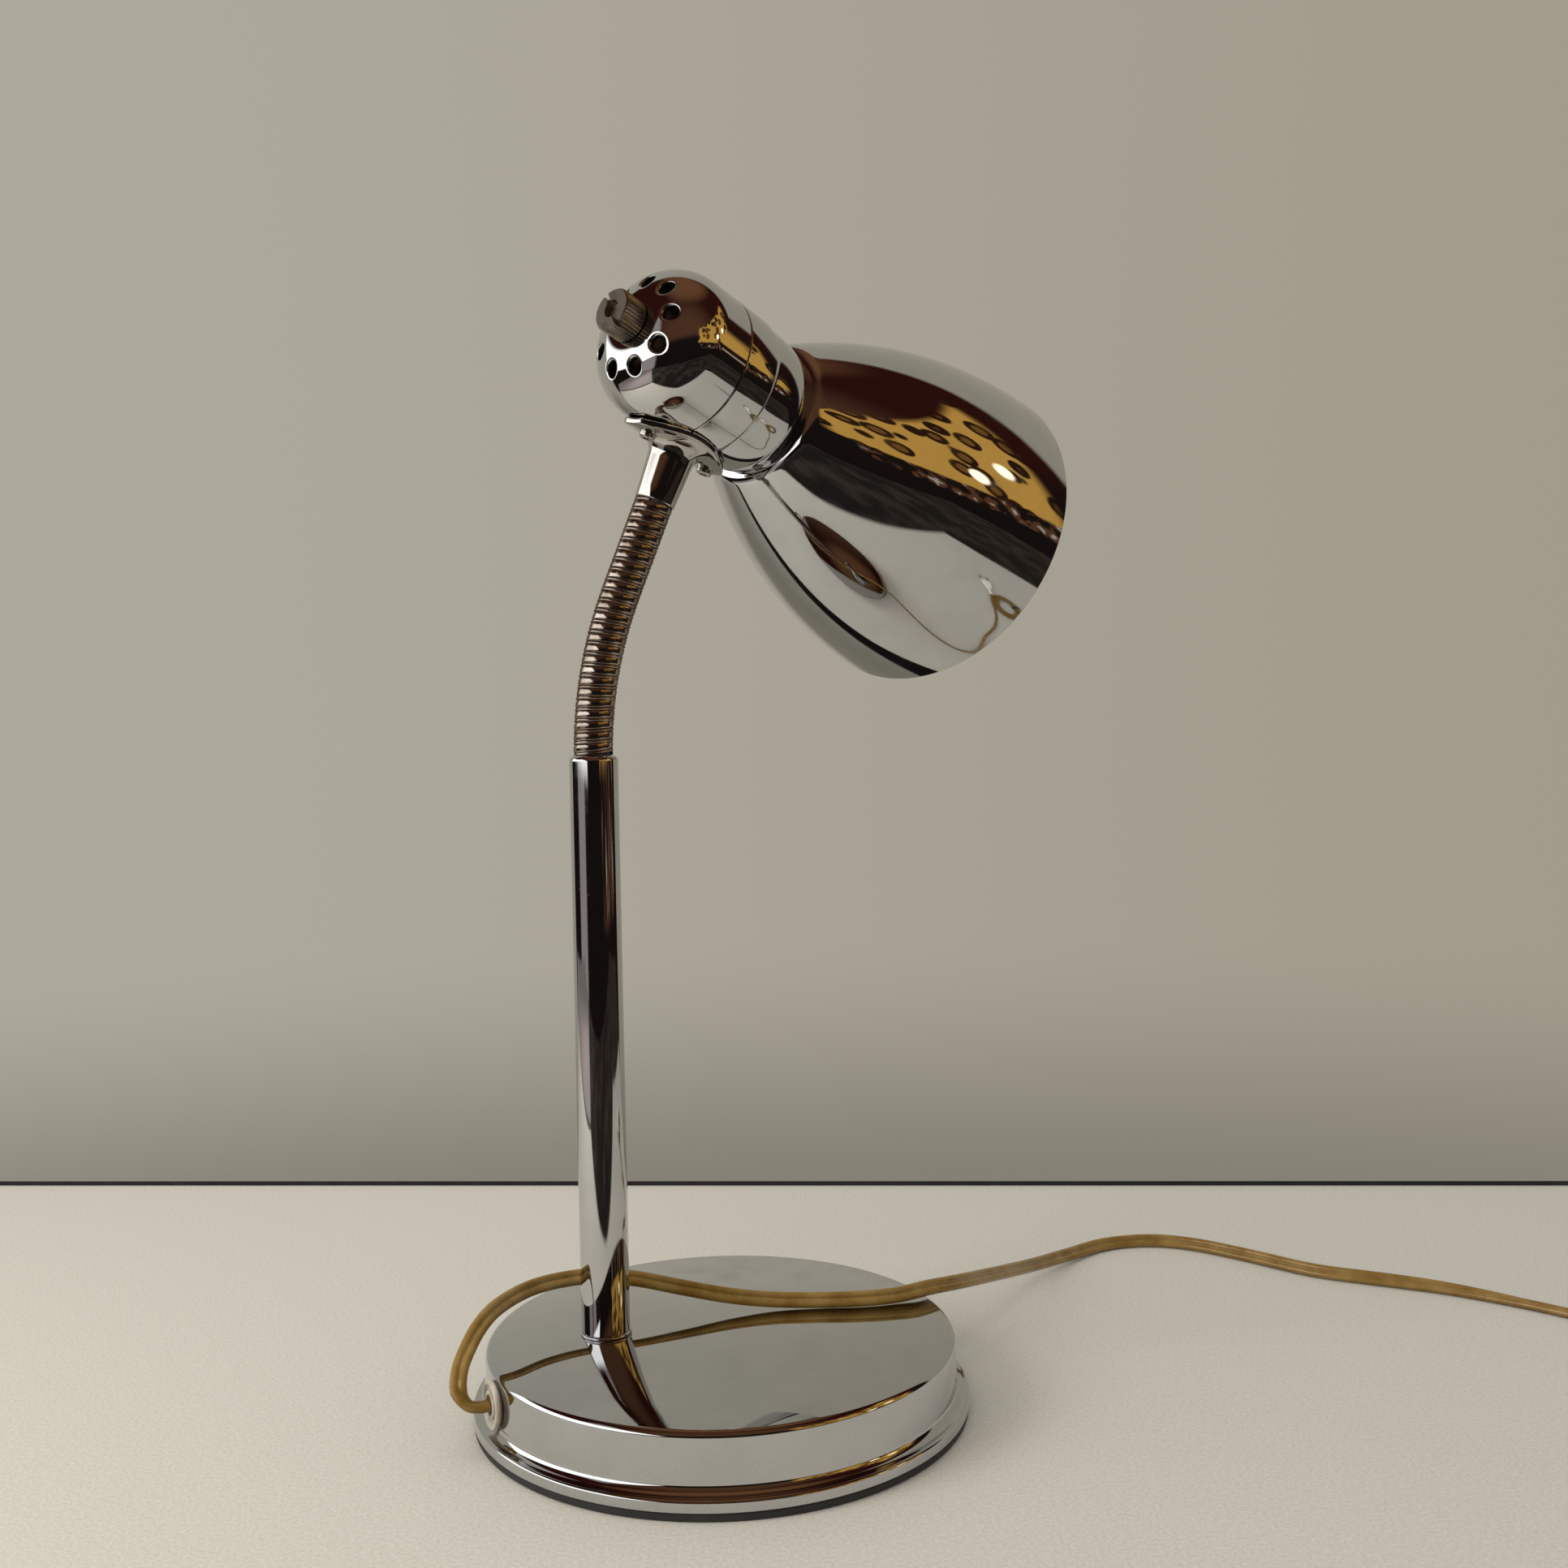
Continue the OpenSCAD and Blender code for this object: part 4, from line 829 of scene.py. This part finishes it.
drilled.normals_split_custom_set([tuple(n) for n in normals])
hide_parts("lamp_cap")
rims = piece("vent_rims", rim_points, rim_faces, "head", [head_chrome, inside_steel_and_shade],
             rim_groups)

# ---------------------------------------------------------------- shade
# One spinning of thin steel: a sleeve that meets the cap, a stepped bead, a tapering
# collar and the deep bell, chromed outside and enamelled white inside.

sleeve_start, sleeve_end, collar_start, collar_end = -4.7, 9.2, 10.7, 29.2
collar_back_r, collar_front_r = 24.6, 22.5
shoulder_turn = (25.4, 29.75)
bell_curve = [Vector(p) for p in ((26.3, 31.2), (46.01, 63.22), (57.5, 95.24), (60.7, 135.5))]


def curved(p, t):
    """Point of a curve from p[0] to p[3] that sets out towards p[1] and comes in from p[2]."""
    return (p[0] * (1 - t) ** 3 + p[1] * 3 * t * (1 - t) ** 2 + p[2] * 3 * t * t * (1 - t)
            + p[3] * t ** 3)


def bell(t):
    """Point of the bell's outline and its outward normal."""
    p = bell_curve
    along = ((p[1] - p[0]) * (1 - t) ** 2 + (p[2] - p[1]) * 2 * t * (1 - t)
             + (p[3] - p[2]) * t * t).normalized()
    return curved(p, t), Vector((along.y, -along.x))


def collar_at(t):
    """Radius of the collar, which turns in more and more towards the bell."""
    return collar_back_r - (collar_back_r - collar_front_r) * t ** 3


def shoulder(t):
    """Point of the round shoulder that springs from the collar's end into the bell."""
    p = Vector((collar_front_r, collar_end)) * (1 - t) ** 2
    p += Vector(shoulder_turn) * 2 * t * (1 - t) + bell(0)[0] * t * t
    return p.x, p.y


def white_enamel():
    material, nodes, links, surface = shader(
        "white_enamel", (0.80, 0.79, 0.75), roughness=0.32, IOR=1.5)
    links.new(tinted(nodes, links, grain(nodes, links, 18, 5), (0.72, 0.70, 0.64),
                     (0.82, 0.81, 0.78)), surface.inputs["Base Color"])
    links.new(spread(nodes, links, grain(nodes, links, 2, 3), 0.26, 0.42),
              surface.inputs["Roughness"])
    dented(nodes, links, surface, grain(nodes, links, 1.4, 3), 0.02)
    return material


bell_steps = 72
outside = [bell(i / bell_steps) for i in range(bell_steps + 1)]
shade_outline = (
    [(barrel_r - 1, sleeve_start)]
    + arc(barrel_r - 0.4, sleeve_start + 0.4, 0.4, -90, 0, 5)
    + arc(barrel_r - 0.9, sleeve_end - 0.9, 0.9, 0, 75, 6)
    + [(24.75, sleeve_end + 0.35), (24.63, sleeve_end + 0.8)]
    + [(collar_at(i / 14), collar_start + (collar_end - collar_start) * i / 14)
       for i in range(15)]
    + [shoulder(i / 8) for i in range(1, 8)]
    + [(p.x, p.y) for p, n in outside]
)
outer_count = len(shade_outline)
shade_outline += [(60.6, 135.75), (60.3, 135.85), (60.0, 135.75)]
shade_outline += [((p - n).x, (p - n).y) for p, n in reversed(outside[:-1])]
shade_outline += [(collar_front_r - 1, collar_end + 1)]
shade_outline += [(collar_at(i / 7) - 1, collar_start + (collar_end - collar_start) * i / 7)
                  for i in range(7, -1, -1)]
shade_outline += [(24.5, sleeve_end - 0.2)]
shade_kinds = [0] * (outer_count + 2) + [1] * (len(shade_outline) - outer_count - 2)
shade = turned("spun_shade", shade_outline, "head", [head_chrome, white_enamel()],
               axis_place, around=288, kinds=shade_kinds, sharp=24)
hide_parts("lamp_shade")

# ---------------------------------------------------------------- switch
# A rotary switch behind the cap's end, held by a thin nut, with a ribbed metal knob.
# The knob is turned from bar, slotted across its face and nickelled; it has gone brown.


def worn_nickel():
    material, nodes, links, surface = shader(
        "worn_nickel", (0.40, 0.35, 0.30), metallic=1.0, roughness=0.3)
    tarnish = grain(nodes, links, 5, 3)
    links.new(tinted(nodes, links, tarnish, (0.27, 0.22, 0.175), (0.40, 0.35, 0.30)),
              surface.inputs["Base Color"])
    links.new(spread(nodes, links, tarnish, 0.4, 0.26), surface.inputs["Roughness"])
    dented(nodes, links, surface, grain(nodes, links, 0.35, 2), 0.006)
    return material


paint(["switch_knob", "switch_shaft", "switch_nut"], worn_nickel())
paint(["switch_body"], black_plastic("brown_phenolic", (0.03, 0.018, 0.012), 0.3))
paint(["switch_terminals"], brass)

# ---------------------------------------------------------------- lampholder and lamp
# A white moulded lampholder with a screwed ring and a brass screw shell, and a frosted
# pear-shaped lamp with an aluminium cap.


def frosted_glass():
    material, nodes, links, surface = shader(
        "frosted_glass", (0.92, 0.91, 0.87), roughness=0.38, IOR=1.5,
        Subsurface_Weight=0.3, Subsurface_Scale=0.004,
    )
    links.new(tinted(nodes, links, grain(nodes, links, 14, 4), (0.86, 0.85, 0.80),
                     (0.95, 0.94, 0.91)), surface.inputs["Base Color"])
    links.new(spread(nodes, links, grain(nodes, links, 3, 4), 0.3, 0.46),
              surface.inputs["Roughness"])
    return material


paint(["holder_body", "holder_ring"], off_white)
paint(["holder_terminals", "thread_shell", "centre_contact"], brass)
paint(["head_lead"], amber)
paint(["bulb_insulator"], black)
paint(["bulb_contact"], bright_nickel)
glass_start, glass_length, glass_r, glass_neck = 38.5, 76, 29, 12.8
glass_end = glass_start + glass_length
neck_points = [(glass_neck, glass_start), (glass_neck + 0.2, glass_start + 4)]
belly = arc(0, glass_end - glass_r, glass_r, -34, 90, 40)
blend_curve = [Vector(neck_points[1]), Vector((glass_neck + 0.6, glass_start + 13)),
               Vector(belly[0]) - Vector((0.56, 0.83)) * 9, Vector(belly[0])]
blend = [tuple(curved(blend_curve, i / 14)) for i in range(1, 14)]
glass_outline = [(11.5, glass_start)] + neck_points + blend + belly
glass = turned("lamp_glass", glass_outline, "head", [frosted_glass()], axis_place, 96,
               closed=False, sharp=50)
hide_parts("bulb_glass")

cap_r, thread_depth, thread_pitch, thread_start, thread_turns = 13.2, 0.6, 3.6, 18.2, 4
thread = [(11.8, 17.6), (12.4, thread_start)]
for i in range(12 * thread_turns + 1):
    wave = 0.5 + 0.5 * math.cos(2 * math.pi * i / 12)
    thread.append((cap_r - thread_depth * wave, thread_start + thread_pitch * i / 12))
thread += [(12.9, 33.4), (cap_r, 34.2), (cap_r, glass_start), (12.2, glass_start), (12.2, 17.6)]
screw_cap = turned("lamp_screw_cap", thread, "head",
                   [nickel("cap_aluminium", (0.66, 0.66, 0.66), (0.2, 0.36))], axis_place, 72,
                   sharp=40)
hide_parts("bulb_cap")

# ---------------------------------------------------------------- table, room and light
# A pale linen-coloured table top before a pale wall. Polished metal mirrors the rest of
# a plain room: a bright window at the left, dark warm walls in front, and a patterned
# curtain, a shelf and two small lamps at the right.


def table_linen():
    """Pale linen; metal mirrors it only up to the table's edges, and dark floor beyond."""
    material, nodes, links, surface = shader(
        "table_linen", (0.50, 0.47, 0.41), roughness=0.85)
    weave = tinted(nodes, links, grain(nodes, links, 1.2, 4), (0.47, 0.44, 0.38),
                   (0.54, 0.51, 0.45))
    place = nodes.new("ShaderNodeTexCoord")
    split = nodes.new("ShaderNodeSeparateXYZ")
    links.new(place.outputs["Object"], split.inputs["Vector"])
    right, back = split.outputs["X"], split.outputs["Y"]
    # Where mirrored rays see the table end, at its front, left and right edges: beyond them a
    # dark floor, and a grey sill beyond the left one, a painted reflection that only the metal
    # shows
    front = arithmetic(nodes, links, "MULTIPLY_ADD", right, 0.14, back)
    front_left = arithmetic(nodes, links, "MULTIPLY_ADD", right, -0.35, back)
    left = arithmetic(nodes, links, "MULTIPLY_ADD", back, 0.93, right)
    side = arithmetic(nodes, links, "MULTIPLY_ADD", back, -0.45, right)
    sector = arithmetic(nodes, links, "MULTIPLY_ADD", back, -0.9, right)
    front = arithmetic(nodes, links, "MULTIPLY",
                       spread(nodes, links, front, 1, 0, (-0.19, -0.17)),
                       spread(nodes, links, front_left, 1, 0, (-0.20, -0.18)))
    floor = arithmetic(nodes, links, "MAXIMUM", spread(nodes, links, side, 0, 1, (0.60, 0.62)),
                       spread(nodes, links, left, 1, 0, (-0.635, -0.625)))
    floor = arithmetic(nodes, links, "MAXIMUM", floor, front)
    sill = arithmetic(nodes, links, "MULTIPLY", spread(nodes, links, left, 1, 0, (-0.67, -0.66)),
                      spread(nodes, links, sector, 1, 0, (-0.08, -0.04)))
    beyond = arithmetic(nodes, links, "MULTIPLY", floor,
                        nodes.new("ShaderNodeLightPath").outputs["Is Glossy Ray"])
    floor_mix, mixed = nodes.new("ShaderNodeMix"), nodes.new("ShaderNodeMix")
    floor_mix.data_type = mixed.data_type = "RGBA"
    links.new(sill, floor_mix.inputs["Factor"])
    links.new(tinted(nodes, links, grain(nodes, links, 160, 2), (0.008, 0.006, 0.005),
                     (0.035, 0.025, 0.019), (0.45, 0.62)), floor_mix.inputs["A"])
    floor_mix.inputs["B"].default_value = (0.26, 0.22, 0.21, 1)
    links.new(beyond, mixed.inputs["Factor"])
    links.new(weave, mixed.inputs["A"])
    links.new(floor_mix.outputs["Result"], mixed.inputs["B"])
    links.new(mixed.outputs["Result"], surface.inputs["Base Color"])
    dented(nodes, links, surface, grain(nodes, links, 0.9, 3), 0.12)
    return material


table_mesh = bpy.data.meshes.new("table_top")
table_front, table_side, gap_high = -0.85, 1.5, 0.0022
back_left, back_right = 0.351, 0.155
table_mesh.from_pydata(
    [(-table_side, table_front, 0), (table_side, table_front, 0),
     (table_side, back_right, 0), (-table_side, back_left, 0),
     (table_side, back_right, gap_high), (-table_side, back_left, gap_high)], [],
    [(0, 1, 2, 3), (3, 2, 4, 5)])
table_mesh.materials.append(table_linen())
# The thin upright strip along the table's back edge is near black: painted shade of the dark gap
# between the table and the wall
table_mesh.materials.append(black_plastic("painted_gap_shade", (0.01, 0.01, 0.01), 0.9))
table_mesh.polygons[1].material_index = 1
table_top = bpy.data.objects.new("table_top", table_mesh)
scene.collection.objects.link(table_top)

world = bpy.data.worlds.new("room")
scene.world = world
world.use_nodes = True
sky, join = world.node_tree.nodes, world.node_tree.links
sky.clear()


def slanted(value, slope, onto):
    """A direction tilted by a part of another one."""
    return arithmetic(sky, join, "MULTIPLY_ADD", value, slope, onto)


def fade(value, none, full):
    """0 at none, 1 at full and smooth between; full may be the smaller of the two."""
    node = sky.new("ShaderNodeMapRange")
    node.interpolation_type = "SMOOTHSTEP"
    node.inputs["From Min"].default_value = none
    node.inputs["From Max"].default_value = full
    join.new(value, node.inputs["Value"])
    return node.outputs["Result"]


def overlap(*shares):
    """The share that lies within all the given ones."""
    common = shares[0]
    for share in shares[1:]:
        common = arithmetic(sky, join, "MULTIPLY", common, share)
    return common


def painted(share, under, over):
    """The under colour with the over colour laid on by its share."""
    node = sky.new("ShaderNodeMix")
    node.data_type = "RGBA"
    for socket, value in ((node.inputs["Factor"], share), (node.inputs["A"], under),
                          (node.inputs["B"], over)):
        if isinstance(value, tuple):
            socket.default_value = (*value, 1)
        else:
            join.new(value, socket)
    return node.outputs["Result"]


way = sky.new("ShaderNodeTexCoord").outputs["Generated"]
split = sky.new("ShaderNodeSeparateXYZ")
join.new(way, split.inputs["Vector"])
to_right, to_back, to_top = split.outputs
# The pale wall behind, with painted shade: browner and darker towards the right, and darker at
# its foot
wall = painted(fade(to_right, -0.45, 0.5), (0.42, 0.395, 0.335), (0.36, 0.33, 0.265))
wall = painted(overlap(fade(to_back, 0.4, 0.8), fade(to_top, -0.12, -0.30)), wall,
               (0.22, 0.205, 0.165))
# Metal looks steeply down over the table's edge into the dark gap before the wall
wall_and_gap = painted(fade(slanted(to_back, 1.05, to_top), -0.02, 0.02),
                       (0.008, 0.007, 0.006), wall)
# Nearly black below, dark red-brown above, brown overhead and on the wall in front
room = painted(fade(to_top, 0.2, 0.5), (0.010, 0.007, 0.006), (0.032, 0.007, 0.005))
room = painted(fade(to_top, 0.84, 0.98), room, (0.17, 0.075, 0.034))
room = painted(overlap(fade(to_back, -0.25, -0.80), fade(to_top, 0.16, 0.34)), room,
               (0.10, 0.045, 0.022))
# Patterned ochre curtain on the right, from the table's height to a little over the lamp
patches = sky.new("ShaderNodeTexVoronoi")
patches.inputs["Scale"].default_value = 7
join.new(way, patches.inputs["Vector"])
spot = patches.outputs["Distance"]
ochre = painted(fade(spot, 0.42, 0.47), (0.03, 0.012, 0.006), (0.62, 0.34, 0.07))
ochre = painted(fade(spot, 0.20, 0.27), (0.20, 0.09, 0.02), ochre)
short_of_back = fade(to_back, 0.20, 0.10)
right_side = slanted(to_back, 0.7, to_right)
curtain = overlap(fade(to_top, 0.05, 0.07), fade(slanted(to_back, -0.35, to_top), 0.68, 0.63),
                  fade(right_side, -0.08, 0.02), short_of_back)
room = painted(curtain, room, ochre)
# A shelf of small things below it
noise = sky.new("ShaderNodeTexNoise")
noise.inputs["Scale"].default_value = 16
join.new(way, noise.inputs["Vector"])
thing = noise.outputs["Fac"]
things = painted(fade(thing, 0.47, 0.52), (0.012, 0.008, 0.006), (0.11, 0.045, 0.02))
things = painted(fade(thing, 0.62, 0.65), things, (0.42, 0.38, 0.32))
shelf = overlap(fade(to_top, -0.07, -0.06), fade(to_top, 0.07, 0.05),
                fade(right_side, 0.05, 0.12), short_of_back)
room = painted(shelf, room, things)
# Two small lamps in front of the curtain
for lamp_way, wide in (((0.949, -0.066, 0.309), 0.9996), ((0.944, -0.270, 0.190), 0.9994)):
    toward = sky.new("ShaderNodeVectorMath")
    toward.operation = "DOT_PRODUCT"
    toward.inputs[1].default_value = lamp_way
    join.new(way, toward.inputs[0])
    room = painted(fade(toward.outputs["Value"], wide - 0.0012, wide), room, (2.4, 2.0, 1.4))
# A bright window at the left, in a dull grey wall
window_wall = overlap(fade(to_right, -0.60, -0.68), fade(to_back, -0.24, -0.30),
                      fade(to_top, -0.30, -0.24))
window = overlap(fade(slanted(to_top, 0.6, to_right), -0.34, -0.39),
                 fade(to_top, 0.04, 0.07), fade(to_top, 0.54, 0.46))
room = painted(window_wall, room, (0.34, 0.30, 0.29))
room = painted(window, room, (1.9, 1.9, 1.85))
seen = painted(fade(to_back, 0.40, 0.34), wall_and_gap, room)
ray = sky.new("ShaderNodeLightPath")
mirrored = arithmetic(sky, join, "MAXIMUM", ray.outputs["Is Glossy Ray"],
                      ray.outputs["Is Transmission Ray"])
tone = painted(mirrored, (0.70, 0.69, 0.67), seen)
tone = painted(ray.outputs["Is Camera Ray"], tone, wall)
backdrop = sky.new("ShaderNodeBackground")
join.new(tone, backdrop.inputs["Color"])
shown = sky.new("ShaderNodeOutputWorld")
join.new(backdrop.outputs["Background"], shown.inputs["Surface"])


def softbox(name, at, toward, size, power, color):
    data = bpy.data.lights.new(name, "AREA")
    data.shape, data.size, data.energy, data.color = "SQUARE", size, power, color
    made = bpy.data.objects.new(name, data)
    scene.collection.objects.link(made)
    made.location = at
    made.rotation_euler = (Vector(toward) - Vector(at)).to_track_quat("-Z", "Y").to_euler()
    made.visible_glossy = False


softbox("window_light", (-0.75, -0.40, 0.55), (0, 0, 0.1), 0.5, 6.5, (1.0, 0.98, 0.95))
softbox("ceiling_light", (-0.2, -0.1, 1.5), (0, 0, 0), 1.2, 4.5, (1.0, 0.97, 0.93))
